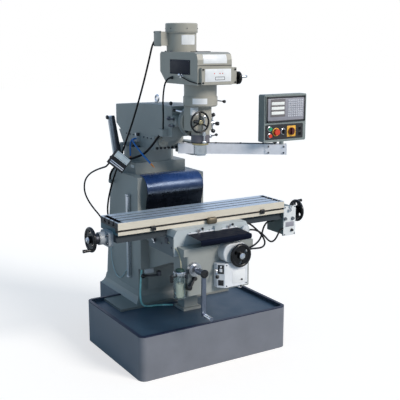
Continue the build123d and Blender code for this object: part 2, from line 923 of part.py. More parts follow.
# Saddle: slides on the knee, carries the table in a dovetail and holds both nuts
with BuildPart() as saddle:
    front_prism((saddle_front, saddle_back), mirrored([
        (saddle_half_top, saddle_top), (saddle_half, saddle_shoulder),
        (saddle_half, saddle_low)]))
    for side in (-1, 1):
        leg = sorted((side * (knee_way_half + way_gap), side * saddle_half))
        keeper = sorted((side * (knee_half + 2), side * saddle_half))
        block(leg, (saddle_front, saddle_leg_back), (saddle_leg_low, saddle_low))
        block(keeper, (saddle_front, saddle_leg_back), (saddle_leg_low, knee_way_low - way_gap))
    side_prism((-saddle_half, saddle_half), [
        (table_y - table_way_root - 2 * way_gap, saddle_top),
        (table_y + table_way_root + 2 * way_gap, saddle_top),
        (table_y + table_way_foot + 2 * way_gap, table_way_low - way_gap),
        (table_y - table_way_foot - 2 * way_gap, table_way_low - way_gap)], Mode.SUBTRACT)
    block((-nut_length, nut_length), (table_y - nut_width / 2, table_y + nut_width / 2),
          (table_way_low - way_gap, saddle_top - 4))
    rod((-saddle_half, table_y, screw_z), (saddle_half, table_y, screw_z), screw_radius + pass_gap,
        Mode.SUBTRACT)
    block((cross_x - nut_width / 2, cross_x + nut_width / 2),
          (cross_nut_y, cross_nut_y + nut_length), (cross_z - nut_width / 2, saddle_low))
    rod((cross_x, cross_nut_y, cross_z), (cross_x, cross_nut_y + nut_length, cross_z),
        cross_radius + pass_gap, Mode.SUBTRACT)
    relief_right = max(feed_gland_x, cross_x + cross_wheel_radius) + feed_relief
    block((cross_feed_left - feed_relief, relief_right),
          (saddle_front, knee_front + saddle_reach + feed_relief),
          (saddle_low, cross_feed_high + feed_relief), Mode.SUBTRACT)
    for lock_x in (lock_left_x, lock_right_x):
        lever_bore((lock_x, saddle_front, lock_z), FORWARD)
    block((stop_left, stop_right), (saddle_front - stop_out, saddle_front), (lock_z - stop_drop, saddle_top))
    rod((saddle_half_top, saddle_socket_y, saddle_socket_z), (saddle_half, saddle_socket_y, saddle_socket_z),
        feed_gland_radius)
finish(saddle, "saddle")

# Front way guard: a stepped rubber apron fixed to the saddle's front
guard_low = guard_front_z - guard_thick
with BuildPart() as front_way_guard:
    guard_step = (saddle_front - guard_front_y) / guard_steps
    guard_points = [(saddle_front, guard_low), (guard_front_y, guard_low)]
    for step in range(guard_steps):
        tread_z = guard_front_z + (guard_back_z - guard_front_z) * step / (guard_steps - 1)
        tread_y = guard_front_y + step * guard_step
        guard_points += [(tread_y, tread_z - 2), (tread_y + 4, tread_z), (tread_y + guard_step, tread_z)]
    side_prism((-guard_half, guard_half), guard_points)
finish(front_way_guard, "front_way_guard")


def table_lock(x):
    """A table clamp lever on the saddle's front."""
    with BuildPart() as clamp:
        lever((x, saddle_front, lock_z), FORWARD, lock_tip, lock_knob)
    return clamp


finish(table_lock(lock_left_x), "table_lock_left")
finish(table_lock(lock_right_x), "table_lock_right")

# Table: T slots on top, coolant troughs at both ends, a dovetail and a screw channel below
with BuildPart() as table:
    block((-table_end, table_end), (table_front, table_back), (table_low, table_top))
    side_prism((-table_end, table_end), [
        (table_y - table_way_root, table_low), (table_y + table_way_root, table_low),
        (table_y + table_way_foot, table_way_low), (table_y - table_way_foot, table_way_low)])
    for row in (-1, 0, 1):
        slot_y = table_y + row * slot_pitch
        block((-table_end, table_end), (slot_y - slot_mouth / 2, slot_y + slot_mouth / 2),
              (table_top - slot_mouth_depth, table_top), Mode.SUBTRACT)
        block((-table_end, table_end), (slot_y - slot_head / 2, slot_y + slot_head / 2),
              (table_top - slot_mouth_depth - slot_head_depth, table_top - slot_mouth_depth),
              Mode.SUBTRACT)
    for end in (-1, 1):
        trough = sorted((end * (table_end - trough_length), end * (table_end - trough_length / 4)))
        block(trough, (table_front + trough_length / 4, table_back - trough_length / 4),
              (table_top - trough_depth, table_top), Mode.SUBTRACT)
    block((-table_end, table_end), (table_front, table_front + front_groove),
          (front_groove_z - front_groove / 2, front_groove_z + front_groove / 2), Mode.SUBTRACT)
    block((-table_end, table_end), (table_y - channel_half, table_y + channel_half),
          (table_way_low, table_low + 2), Mode.SUBTRACT)
finish(table, "table")

# Left end bracket with the screw's bearing and dial collar
with BuildPart() as left_bracket:
    bracket_out = -table_end - left_bracket_length
    with BuildSketch(Plane.YZ.offset(bracket_out)):
        left_bracket_low = screw_z - 1.25 * left_dial_radius
        left_bracket_high = table_low + left_bracket_lip
        with Locations((table_y, (left_bracket_low + left_bracket_high) / 2)):
            RectangleRounded(left_bracket_width, left_bracket_high - left_bracket_low, left_bracket_round)
    extrude(amount=left_bracket_length)
    rod((bracket_out, table_y, screw_z), (bracket_out - left_dial_length, table_y, screw_z),
        left_dial_radius)
    rod((-table_end, table_y, screw_z), (bracket_out - left_dial_length, table_y, screw_z),
        screw_radius + run_gap, Mode.SUBTRACT)
finish(left_bracket, "left_bracket")

# Power feed unit on the table's right end, with its front control panel
feed_out = table_end + feed_unit_length
feed_dial_out = feed_out + feed_dial_length
feed_unit_high = table_low + feed_unit_rise
feed_lever_seat = (feed_lever_x, table_front, feed_lever_z)
with BuildPart() as x_feed_gearbox:
    block((table_end, feed_out), (table_front + feed_panel_thick, feed_unit_back),
          (feed_unit_low + feed_unit_step, feed_unit_high))
    block((table_end, feed_out), (table_front, table_front + feed_panel_thick),
          (feed_unit_low, feed_panel_top))
    rod((feed_out, table_y, screw_z), (feed_dial_out, table_y, screw_z), left_dial_radius)
    rod((table_end, table_y, screw_z), (feed_dial_out, table_y, screw_z), screw_radius + run_gap,
        Mode.SUBTRACT)
    lever_bore(feed_lever_seat, FORWARD)
finish(x_feed_gearbox, "x_feed_gearbox")

with BuildPart() as x_feed_lever:
    lever(feed_lever_seat, FORWARD, x_lever_tip, x_lever_knob)
finish(x_feed_lever, "x_feed_lever")

# Table screw with a handwheel on each end
with BuildPart() as table_screw:
    rod((left_wheel_x, table_y, screw_z), (right_wheel_x, table_y, screw_z), screw_radius)
    for start, end in ((bracket_out - left_dial_length - way_gap, left_wheel_x + hub_length / 2),
                       (feed_dial_out + way_gap, right_wheel_x - hub_length / 2)):
        rod((start, table_y, screw_z), (end, table_y, screw_z), 0.8 * left_dial_radius)
finish(table_screw, "table_screw")


def table_wheel(x, outward, turn):
    """A handwheel on one end of the table screw, with its grip pointing outwards."""
    with BuildPart() as wheel:
        plane = Plane((x, table_y, screw_z), x_dir=(0, 0, 1), z_dir=(outward, 0, 0))
        handwheel(plane, wheel_radius, screw_radius)
        grip_radius = wheel_radius - rim_radius
        grip_y = table_y + grip_radius * sin(radians(turn))
        grip_z = screw_z + grip_radius * cos(radians(turn))
        rod((x, grip_y, grip_z), (x + outward * grip_length, grip_y, grip_z), grip_root,
            end_radius=grip_end)
    return wheel


finish(table_wheel(left_wheel_x, -1, left_grip_turn), "left_handwheel")
finish(table_wheel(right_wheel_x, 1, right_grip_turn), "right_handwheel")

# Turret: turns on the column's ring, holds the ram in a dovetail and carries the arm's bracket
bracket_outline = [
    (bed_half, bracket_front), (bed_half + bracket_web, bracket_back),
    (arm_pivot_x + arm_eye, arm_pivot_y + arm_eye / 3), (arm_pivot_x + arm_eye / 3, arm_pivot_y - arm_eye),
    (arm_pivot_x - arm_eye, arm_pivot_y)]
with BuildPart() as turret:
    rod((0, swivel_y, turret_low), (0, swivel_y, bed_low), ring_radius)
    rod((0, swivel_y, ring_top - spigot_depth + 1), (0, swivel_y, turret_low), spigot_radius)
    side_prism((-bed_half, bed_half), [
        (bed_front, bed_low), (bed_back_low, bed_low), (bed_back_high, bed_top),
        (bed_front, bed_top)])
    front_prism((bed_front, bed_back_high), mirrored([
        (ram_way_root + 2 * way_gap, bed_top),
        (ram_way_foot + 2 * way_gap, bed_top - ram_way_depth - way_gap)]), Mode.SUBTRACT)
    block((bed_half, bed_half + bracket_web), (bracket_front, bracket_back), (bracket_low, bracket_high))
    for low, high in ((bracket_low, bracket_low + arm_plate), (bracket_high - arm_plate, bracket_high)):
        level_prism((low, high), bracket_outline)
        rod((arm_pivot_x, arm_pivot_y, low), (arm_pivot_x, arm_pivot_y, high),
            arm_pin_radius + run_gap, Mode.SUBTRACT)
finish(turret, "turret")

# Lamp bracket on the left of the turret
with BuildPart() as lamp_bracket:
    lamp_bracket_low = bed_low + lamp_bracket_rise
    block((lamp_x + lamp_plate, -bed_half), (lamp_base_y - lamp_bar / 2, lamp_base_y + lamp_bar / 2),
          (lamp_bracket_low, lamp_bracket_low + lamp_bar))
    block((lamp_x + lamp_plate, lamp_x + 2 * lamp_plate),
          (lamp_base_y - lamp_bar / 2, lamp_base_y + lamp_bar / 2), (lamp_base_z, lamp_bracket_low))
    rod((lamp_x + lamp_plate, lamp_base_y, lamp_base_z),
        (lamp_x + 2 * lamp_plate, lamp_base_y, lamp_base_z), lamp_bar / 2)
    rod((lamp_x + lamp_plate, lamp_base_y, lamp_base_z),
        (lamp_x + 2 * lamp_plate, lamp_base_y, lamp_base_z), lamp_pin_radius + run_gap, Mode.SUBTRACT)
finish(lamp_bracket, "lamp_bracket")

# Ram: hollow overarm with a dovetail below, two cheeks in front and a cap at the back
with BuildPart() as ram:
    side_prism((-ram_half, ram_half), [
        (ram_front, ram_nose_low), (ram_low_start, ram_low), (ram_low_end, ram_low),
        (ram_back, ram_back_low), (ram_back, ram_back_top), (ram_mid_y, ram_mid_top),
        (ram_top_start, ram_top), (ram_front, ram_top)])
    fillet(ram.edges().filter_by(Axis.X, reverse=True).group_by(Axis.Z)[-1], ram_wall / 4)
    front_prism((ram_low_start, ram_low_end), mirrored([
        (ram_way_root, ram_low), (ram_way_foot, bed_top - ram_way_depth)]))
    block((ram_wall - ram_half, ram_half - ram_wall), (ram_hollow_start, ram_back),
          (ram_back_low + ram_wall / 2, ram_back_top - ram_wall), Mode.SUBTRACT)
    block((ram_wall - ram_half, ram_half - ram_wall), (ram_back - ram_wall / 2, ram_back + ram_cap_depth),
          (ram_back_low + ram_wall / 2, ram_back_top - ram_wall))
    rod((-ram_half, nod_y, nod_z), (ram_half, nod_y, nod_z), nod_cheek_radius)
    rod((-nod_tongue_half - way_gap, nod_y, nod_z), (nod_tongue_half + way_gap, nod_y, nod_z),
        nod_cheek_radius + 2 * pass_gap, Mode.SUBTRACT)
    rod((-ram_half, nod_y, nod_z), (ram_half, nod_y, nod_z), nod_pin_radius + run_gap, Mode.SUBTRACT)
    rod((0, eye_y, ram_mid_top), (0, eye_y, ram_top), eye_shank, Mode.SUBTRACT)
    side_prism((-ram_half - cord_block_out, -ram_half), [
        (cord_block_front, cord_block_low), (cord_block_foot, cord_block_low),
        (cord_block_back, cord_block_bend), (cord_block_top, cord_block_high),
        (cord_block_front, cord_block_high)])
finish(ram, "ram")

with BuildPart() as eye_bolt:
    eye_seat = ram_top - (ram_top - ram_mid_top) * (eye_y - ram_top_start) / (ram_mid_y - ram_top_start)
    eye_foot = eye_seat + eye_collar / 6
    rod((0, eye_y, ram_mid_top), (0, eye_y, eye_seat + eye_collar / 4), eye_shank - run_gap)
    rod((0, eye_y, eye_foot), (0, eye_y, eye_seat + eye_collar), 2 * eye_shank)
    with Locations(Plane((0, eye_y, eye_seat + eye_collar + eye_ring), z_dir=(1, 0, 0))):
        Torus(eye_ring, eye_wire)
finish(eye_bolt, "eye_bolt")

# Knuckle: nods on a cross pin in the ram's cheeks and carries the head's swivel face
with BuildPart() as ram_adapter:
    rod((-nod_tongue_half, nod_y, nod_z), (nod_tongue_half, nod_y, nod_z), nod_cheek_radius)
    block((-nod_tongue_half, nod_tongue_half), (knuckle_disc_back, nod_y),
          (nod_z - 0.8 * nod_cheek_radius, nod_z + 0.8 * nod_cheek_radius))
    rod((-ram_half, nod_y, nod_z), (ram_half, nod_y, nod_z), nod_pin_radius)
    rod((0, knuckle_disc_back, nod_z), (0, knuckle_disc_front, nod_z), knuckle_disc_radius)
    rod((0, knuckle_disc_front, nod_z), (0, knuckle_disc_front - tilt_pin_length, nod_z), tilt_pin_radius)
finish(ram_adapter, "ram_adapter")

# Head casting: swivel flange, quill housing and the round barrel below it
quill_lock_seat = (barrel_radius, quill_lock_y, quill_lock_z)
quill_lock_depth = barrel_radius - quill_radius - 7
with BuildPart() as head_casting:
    block((-head_left, head_right), (head_front, head_back), (head_low, head_top))
    fillet(head_casting.edges().filter_by(Axis.Z), head_round)
    rod((0, spindle_y, barrel_low), (0, spindle_y, head_top), barrel_radius)
    rod((0, head_back, nod_z), (0, knuckle_disc_front - way_gap, nod_z), head_flange_radius)
    rod((0, capstan_y, capstan_z), (head_flange_radius, capstan_y, capstan_z), capstan_boss_radius)
    rod((0, spindle_y, barrel_low), (0, spindle_y, head_top), quill_radius + run_gap, Mode.SUBTRACT)
    rod((0, knuckle_disc_front - way_gap, nod_z), (0, knuckle_disc_front - tilt_pin_length - 1, nod_z),
        tilt_pin_radius + run_gap, Mode.SUBTRACT)
    rod((-head_left / 2, capstan_y, capstan_z), (head_flange_radius, capstan_y, capstan_z),
        capstan_shaft_radius + run_gap, Mode.SUBTRACT)
    rod((fine_wheel_x, head_front, fine_wheel_z),
        (fine_wheel_x, head_front + fine_shaft_depth + 1, fine_wheel_z),
        fine_shaft_radius + run_gap, Mode.SUBTRACT)
    lever_bore(quill_lock_seat, RIGHTWARD, quill_lock_depth)
finish(head_casting, "head_casting")

# Gear and brake housing above the quill housing
with BuildPart() as gear_housing:
    rod((0, spindle_y, head_top), (0, spindle_y, gear_waist_z), gear_radius)
    chamfer(gear_housing.faces().sort_by(Axis.Z)[0].edges(), gear_chamfer)
    rod((0, spindle_y, gear_waist_z), (0, spindle_y, gear_top), gear_waist_radius)
    rod((0, spindle_y, head_top), (0, spindle_y, gear_top), quill_radius, Mode.SUBTRACT)
    lever_bore((gear_radius, spindle_y, hi_lo_z), RIGHTWARD)
finish(gear_housing, "gear_housing")

# Belt housing: a hollow cover with a cut-back lower rear, a rounded top front and a front panel
belt_profile = [
    (belt_front, belt_low), (belt_back - belt_cut_y, belt_low), (belt_back, belt_low + belt_cut_z),
    (belt_back, belt_high - belt_nose / 3), (belt_back - belt_nose / 3, belt_high),
    (belt_front + belt_nose, belt_high), (belt_front + belt_nose / 4, belt_high - belt_nose / 4),
    (belt_front, belt_high - belt_nose)]
with BuildPart() as belt_housing:
    side_prism((-belt_half_left, belt_half_right), belt_profile)
    side_prism((belt_wall - belt_half_left, belt_half_right - belt_wall), [
        (belt_front + belt_wall, belt_low + belt_wall),
        (belt_back - belt_cut_y - belt_wall / 2, belt_low + belt_wall),
        (belt_back - belt_wall, belt_low + belt_cut_z + belt_wall / 2),
        (belt_back - belt_wall, belt_high - belt_nose / 2),
        (belt_back - belt_nose / 2, belt_high - belt_wall),
        (belt_front + belt_nose, belt_high - belt_wall),
        (belt_front + belt_wall, belt_high - belt_nose)], Mode.SUBTRACT)
    block((-panel_half_left, panel_half_right), (belt_front - panel_thick, belt_front),
          (panel_low, panel_high))
    rod((0, spindle_y, belt_low), (0, spindle_y, belt_low + belt_wall), pulley_hub_radius, Mode.SUBTRACT)
    rod((0, motor_y, belt_high - belt_wall), (0, motor_y, belt_high), 2 * motor_shaft_radius,
        Mode.SUBTRACT)
    rod((belt_half_right, speed_wheel_y, speed_wheel_z), (panel_half_right, speed_wheel_y, speed_wheel_z),
        speed_shaft_radius + run_gap, Mode.SUBTRACT)
finish(belt_housing, "belt_housing")

# Motor with its cap and terminal box
with BuildPart() as motor:
    rod((0, motor_y, belt_high), (0, motor_y, motor_body_high), motor_radius)
    rod((0, motor_y, motor_body_high), (0, motor_y, motor_cap_high), motor_cap_radius)
    fillet(motor.faces().sort_by(Axis.Z)[-1].edges(), motor_cap_round)
    block((motor_box_left, 0), (motor_y, motor_y + motor_box_depth),
          (motor_box_low, motor_box_low + motor_box_depth))
    rod((0, motor_y, belt_high), (0, motor_y, motor_body_high - motor_radius / 2),
        motor_shaft_radius + run_gap, Mode.SUBTRACT)
finish(motor, "motor")

# Pulleys, belt and rotor shaft inside the belt housing
with BuildPart() as motor_pulley:
    rod((0, motor_y, pulley_low), (0, motor_y, pulley_low + pulley_height), motor_pulley_radius)
    rod((0, motor_y, pulley_low), (0, motor_y, motor_body_high - motor_radius / 2 - 1), motor_shaft_radius)
finish(motor_pulley, "motor_pulley")

with BuildPart() as spindle_pulley:
    rod((0, spindle_y, pulley_low), (0, spindle_y, pulley_low + pulley_height), pulley_radius)
    rod((0, spindle_y, gear_top - pulley_hub_drop), (0, spindle_y, pulley_low), pulley_hub_radius - way_gap)
    rod((0, spindle_y, gear_top - pulley_hub_drop), (0, spindle_y, pulley_low + pulley_height),
        spindle_stem_radius + run_gap, Mode.SUBTRACT)
finish(spindle_pulley, "spindle_pulley")

with BuildPart() as drive_belt:
    for grow, mode in ((belt_thick, Mode.ADD), (0, Mode.SUBTRACT)):
        with BuildSketch(Plane.XY.offset(pulley_low + belt_inset)) as loop:
            with Locations((0, spindle_y)):
                Circle(pulley_radius + belt_gap + grow)
            with Locations((0, motor_y)):
                Circle(motor_pulley_radius + belt_gap + grow)
            make_hull()
        extrude(loop.sketch, amount=pulley_height - 2 * belt_inset, mode=mode)
finish(drive_belt, "drive_belt")

# Quill and spindle
with BuildPart() as quill:
    rod((0, spindle_y, quill_low), (0, spindle_y, quill_top), quill_radius)
    chamfer(quill.faces().sort_by(Axis.Z)[0].edges(), quill_chamfer)
    rod((0, spindle_y, quill_low), (0, spindle_y, quill_top), spindle_radius + run_gap, Mode.SUBTRACT)
finish(quill, "quill")

with BuildPart() as spindle:
    rod((0, spindle_y, spindle_nose_low), (0, spindle_y, quill_top), spindle_radius)
    rod((0, spindle_y, spindle_nose_low), (0, spindle_y, quill_low - way_gap), spindle_radius + nose_flange)
    rod((0, spindle_y, quill_top), (0, spindle_y, spindle_stem_top), spindle_stem_radius)
    rod((0, spindle_y, spindle_nose_low), (0, spindle_y, spindle_nose_low + spindle_bore_length),
        spindle_bore_radius, Mode.SUBTRACT)
finish(spindle, "spindle")

# Quill feed capstan: hub, four spokes and knobs on the right of the head
with BuildPart() as quill_capstan:
    capstan_x = head_flange_radius + way_gap
    spoke_x = capstan_x + capstan_spoke_out
    rod((-head_left / 2 + 1, capstan_y, capstan_z), (spoke_x, capstan_y, capstan_z), capstan_shaft_radius)
    rod((capstan_x, capstan_y, capstan_z), (capstan_x + capstan_hub_length, capstan_y, capstan_z),
        capstan_hub_radius)
    for turn in range(4):
        angle = radians(90 * turn + capstan_turn)
        tip = (capstan_x + capstan_knob_out, capstan_y + capstan_reach * cos(angle),
               capstan_z + capstan_reach * sin(angle))
        rod((spoke_x, capstan_y, capstan_z), tip, capstan_spoke_radius)
        ball(tip, capstan_knob_radius)
finish(quill_capstan, "quill_capstan")

# Fine feed handwheel on the front left of the head
with BuildPart() as fine_feed_wheel:
    with Locations(Plane((fine_wheel_x, fine_wheel_y, fine_wheel_z), x_dir=(1, 0, 0), z_dir=(0, -1, 0))):
        rim_middle = fine_wheel_radius - fine_rim_radius
        Torus(rim_middle, fine_rim_radius)
        Cylinder(fine_hub_radius, fine_hub_length)
        with PolarLocations(rim_middle / 2, 3, start_angle=90):
            Box(rim_middle, fine_spoke_width, fine_rim_radius)
    rod((fine_wheel_x, head_front + fine_shaft_depth, fine_wheel_z),
        (fine_wheel_x, fine_wheel_y, fine_wheel_z), fine_shaft_radius)
    rod((fine_wheel_x, head_front - way_gap, fine_wheel_z),
        (fine_wheel_x, fine_wheel_y + fine_hub_length / 3, fine_wheel_z), fine_collar_radius)
finish(fine_feed_wheel, "fine_feed_wheel")

# Speed change handwheel on the right of the belt housing
with BuildPart() as speed_wheel:
    speed_wheel_out = speed_wheel_x + speed_wheel_thick / 2
    grip_place = (speed_wheel_y + speed_grip_y, speed_wheel_z + speed_grip_z)
    rod((belt_half_right + 2, speed_wheel_y, speed_wheel_z),
        (speed_wheel_out + speed_shaft_radius, speed_wheel_y, speed_wheel_z), speed_shaft_radius)
    rod((speed_wheel_out - speed_wheel_thick, speed_wheel_y, speed_wheel_z),
        (speed_wheel_out, speed_wheel_y, speed_wheel_z), speed_wheel_radius)
    rod((speed_wheel_x, *grip_place), (speed_wheel_x + speed_grip_length, *grip_place), speed_grip_root,
        end_radius=speed_grip_end)
finish(speed_wheel, "speed_wheel")

# High and low range lever, and quill lock lever
with BuildPart() as hi_lo_lever:
    lever((gear_radius, spindle_y, hi_lo_z), RIGHTWARD, hi_lo_tip, hi_lo_knob)
finish(hi_lo_lever, "hi_lo_lever")

with BuildPart() as quill_lock_lever:
    lever(quill_lock_seat, RIGHTWARD, quill_lock_tip, quill_lock_knob, quill_lock_depth)
finish(quill_lock_lever, "quill_lock_lever")

# Pendant arm: square tube on a vertical pin, with two clamp blocks at its outer end
arm_heading = Vector(cos(radians(arm_angle)), sin(radians(arm_angle)), 0)
arm_middle_z = (arm_low + arm_high) / 2
arm_plane = Plane((arm_pivot_x, arm_pivot_y, arm_middle_z), x_dir=arm_heading, z_dir=(0, 0, 1))
post_place = Vector(arm_pivot_x, arm_pivot_y, 0) + arm_heading * arm_post
with BuildPart() as pendant_arm:
    with Locations(arm_plane):
        with Locations(((arm_block_start - arm_stub) / 2, 0, 0)):
            Box(arm_block_start + arm_stub, arm_tube, arm_high - arm_low)
        with Locations(((arm_block_start - arm_stub) / 2, 0, 0)):
            Box(arm_block_start + arm_stub - 2 * arm_tube, arm_tube - 2 * arm_wall,
                arm_high - arm_low - 2 * arm_wall, mode=Mode.SUBTRACT)
        with Locations(((arm_block_start + arm_reach) / 2, 0, 0)):
            Box(arm_reach - arm_block_start, arm_tube + arm_block_extra, arm_high - arm_low)
    rod((arm_pivot_x, arm_pivot_y, bracket_low), (arm_pivot_x, arm_pivot_y, bracket_high), arm_pin_radius)
    rod((post_place.X, post_place.Y, arm_middle_z), (post_place.X, post_place.Y, arm_high),
        arm_pin_radius + run_gap, Mode.SUBTRACT)
finish(pendant_arm, "pendant_arm")

# Console: readout and switch panel on a post in the arm's end
with BuildPart() as console_box:
    block((console_left, console_right), (console_front, console_back), (console_low, console_high))
    fillet(console_box.edges().filter_by(Axis.Y), console_round)
    block((console_left + bezel_inset, console_right - bezel_inset),
          (console_front - bezel_out, console_front), (screen_low, console_high - bezel_inset))
    rod((post_place.X, post_place.Y, arm_middle_z + 1), (post_place.X, post_place.Y, console_low),
        arm_pin_radius)
    for hole_x, hole_z, hole_radius in ((button_x, button_row_high, button_plunger),
                                        (button_x, button_row_low, button_plunger),
                                        (stop_x, button_row_middle, button_plunger),
                                        (switch_x, button_row_middle, switch_stem),
                                        (selector_x, button_row_middle, switch_stem)):
        rod((hole_x, console_front, hole_z), (hole_x, console_front + console_hole_depth, hole_z),
            hole_radius + pass_gap, Mode.SUBTRACT)
finish(console_box, "console_box")


def push_button(x, z, head_radius, head_length):
    """A button whose plunger runs in the console's front, clear of the panel by its travel."""
    with BuildPart() as button:
        head_back = console_front - button_travel - 1
        rod((x, console_front + button_depth, z), (x, head_back, z), button_plunger)
        rod((x, head_back, z), (x, head_back - head_length, z), head_radius)
    return button


finish(push_button(button_x, button_row_high, button_radius, button_length), "start_button")
finish(push_button(button_x, button_row_low, button_radius, button_length), "stop_button")
finish(push_button(stop_x, button_row_middle, stop_radius, stop_length), "emergency_stop")


def turn_switch(x, z, skirt_radius, grip):
    """A rotary switch: a spindle in the console, a round skirt and a bar grip."""
    with BuildPart() as switch:
        skirt_front = console_front - switch_skirt
        rod((x, console_front + switch_depth, z), (x, skirt_front, z), switch_stem)
        rod((x, console_front - way_gap, z), (x, skirt_front, z), skirt_radius)
        with Locations((x, skirt_front - switch_grip_out / 2 + 1, z)):
            Box(grip / 3, switch_grip_out, grip)
    return switch


finish(turn_switch(switch_x, button_row_middle, main_skirt_radius, main_grip), "main_switch")
finish(turn_switch(selector_x, button_row_middle, selector_skirt_radius, selector_grip), "selector_switch")

# Work lamp: two arms side by side and a flat head
lower_x = (lamp_x - lamp_plate / 2, lamp_x + lamp_plate - way_gap)
upper_x = (lamp_x - 2 * lamp_plate, lamp_x - lamp_plate / 2 - way_gap)
head_x = (lamp_x - 3 * lamp_plate, lamp_x - 2 * lamp_plate - way_gap)


def lamp_link(x, start, end):
    """A flat link with round ends between two cross pins."""
    run = Vector(0, end[0] - start[0], end[1] - start[1])
    middle = Plane(((x[0] + x[1]) / 2, (start[0] + end[0]) / 2, (start[1] + end[1]) / 2),
                   x_dir=(1, 0, 0), z_dir=run)
    with Locations(middle):
        Box(x[1] - x[0], lamp_bar, run.length)
    for end_y, end_z in (start, end):
        rod((x[0], end_y, end_z), (x[1], end_y, end_z), lamp_bar / 2)


lamp_base = (lamp_base_y, lamp_base_z)
lamp_elbow = (lamp_elbow_y, lamp_elbow_z)
lamp_neck = (lamp_neck_y, lamp_neck_z)
with BuildPart() as lamp_lower_arm:
    lamp_link(lower_x, lamp_base, lamp_elbow)
    rod((lower_x[0], *lamp_base), (lamp_x + 2 * lamp_plate, *lamp_base), lamp_pin_radius)
    rod((lower_x[0], *lamp_elbow), (lower_x[1], *lamp_elbow), lamp_pin_radius + run_gap, Mode.SUBTRACT)
finish(lamp_lower_arm, "lamp_lower_arm")

with BuildPart() as lamp_upper_arm:
    lamp_link(upper_x, lamp_elbow, lamp_neck)
    rod((upper_x[0], *lamp_elbow), (lower_x[1], *lamp_elbow), lamp_pin_radius)
    rod((upper_x[0], *lamp_neck), (upper_x[1], *lamp_neck), lamp_pin_radius + run_gap, Mode.SUBTRACT)
finish(lamp_upper_arm, "lamp_upper_arm")

lamp_upright = Plane(lamp_face, x_dir=lamp_level, z_dir=lamp_facing)
lamp_plane = Plane(lamp_upright.location * Rotation(0, 0, -lamp_lean))
lamp_rear = lamp_plane.from_local_coords((-lamp_face_width * 0.36, lamp_face_height * 0.2, -lamp_depth))
with BuildPart() as lamp_head:
    with Locations(lamp_plane.offset(-lamp_depth / 2)):
        Box(lamp_face_width, lamp_face_height, lamp_depth)
    rod((head_x[0], *lamp_neck), (head_x[1], *lamp_neck), lamp_bar / 2)
    rod((head_x[0], *lamp_neck), (upper_x[1], *lamp_neck), lamp_pin_radius)
    rod(((head_x[0] + head_x[1]) / 2, *lamp_neck), (lamp_rear.X, lamp_rear.Y, lamp_rear.Z), lamp_bar / 3)
finish(lamp_head, "lamp_head")

# Cords and hoses along points chosen by hand; each end stops just clear of the face that it meets
motor_cable_route = [
    (-120, motor_y + motor_box_depth + cord_gap, 2102), (-120, 154, 2102), (-121, 181, 2092),
    (-123, 203, 2072), (-126, 218, 2044), (-130, 228, 2008), (-139, 252, 1929), (-155, 292, 1801),
    (-180, 350, 1631), (-204, 394, 1501), (-222, 421, 1423), (-250, 448, 1318), (-280, 478, 1205),
    (-300, 522, 1092), (-306, 568, 990), (-303, 600, 915), (-297, 617, 868), (-291.5, 622.5, 836),
    (gland_axis, motor_gland_y, motor_gland_z + cord_gap)]
head_cable_route = [
    (-belt_half_left - cord_gap, -56, 1858), (-139, -56, 1858), (-156, -54, 1850), (-168, -49, 1833),
    (-173, -41, 1807), (-172, -27, 1771), (-167, -8, 1723), (-159, 6, 1671), (-149, 22, 1601),
    (-143.5, 36, 1546), (-143, 38, cord_block_high + cord_gap)]
column_hose_route = [
    (-135, 85.4, 1485.7), (-135.3, 101, 1472.1), (-138, 128, 1450), (-143, 172, 1409),
    (-149, 219, 1371), (-158, 274, 1329), (-176, 325, 1305), (-200, 364, 1288), (-221, 402, 1278),
    (-240, 445, 1266), (-252, 497, 1238), (-270, 540, 1202), (-285, 563, 1168), (-291.3, 573, 1137),
    (gland_axis, hose_gland_y, hose_gland_z + cord_gap)]
lamp_cable_route = [
    (-375.3, 402.3, 1258.7), (-385, 405.2, 1246.4), (-392, 416, 1236), (-396, 440, 1228),
    (-398, 480, 1217), (-397, 555, 1196), (-396, 651, 1164), (-394, 731, 1127), (-388, 805, 1080),
    (-378, 852, 1019), (-364, 871, 961), (-346, 851, 909), (-328, 806, 861), (-308, 738, 816),
    (-297.5, 694, 776), (-293.5, 673, 746), (-291.7, 663.5, 722), (-291, 660.5, 704.5),
    (gland_axis, lamp_gland_y, lamp_gland_z + cord_gap)]
long_feed_route = [
    (feed_gland_x + cord_gap, long_gland_y, 768.5), (197, long_gland_y, 768.5), (220, -453, 769),
    (252, -446, 773), (290, -430, 780), (344, -398, 793), (396, -350, 815), (445, -295, 836), (500, -245, 850),
    (556, -200, 852), (592, -170, 845), (614, -157, 840), (table_end - cord_gap, -156, 839)]
saddle_feed_route = [
    (saddle_half + cord_gap, saddle_socket_y, saddle_socket_z), (307, saddle_socket_y, saddle_socket_z),
    (323, -307, 886), (340, -312, 873),
    (358, -319, 856), (378, -328, 836), (396, -340, 812), (406, -356, 787), (404, -375, 765),
    (388, -392, 750), (360, -408, 743), (320, -426, 746), (275, -450, 756), (235, -470, 765),
    (208, -479.5, 768), (feed_gland_x + cord_gap, saddle_gland_y, 768.5)]
panel_feed_route = [
    (saddle_half + cord_gap, -334, 853), (306, -334, 853), (323, -336, 852), (350, -338, 846),
    (388, -335, 828), (430, -328, 796), (464, -320, 763), (490, -313, 743), (515, -306, 735),
    (540, -300, 740), (562, -293, 756), (580, -286, 774), (596, -279, 790), (614, -272, 803),
    (table_end - cord_gap, -270.5, 804.5)]
drain_hose_route = [
    (-285, 105, knee_flange_low - cord_gap), (-285.5, 105, 540), (-290, 103, 515), (-295, 99, 480),
    (-298, 99, 440), (-298, 104, 398), (-296, 108, 366), (-294, 108, 340), (-291, 106, 321),
    (-284, 104, 304), (-270, 103, 290.5), (-250, 102, 283.6), (-225, 101, 281.2), (-190, 97, 280.8),
    (-150, 86, 280.8), (-110, 66, 280.8), (-75, 42, 280.8)]
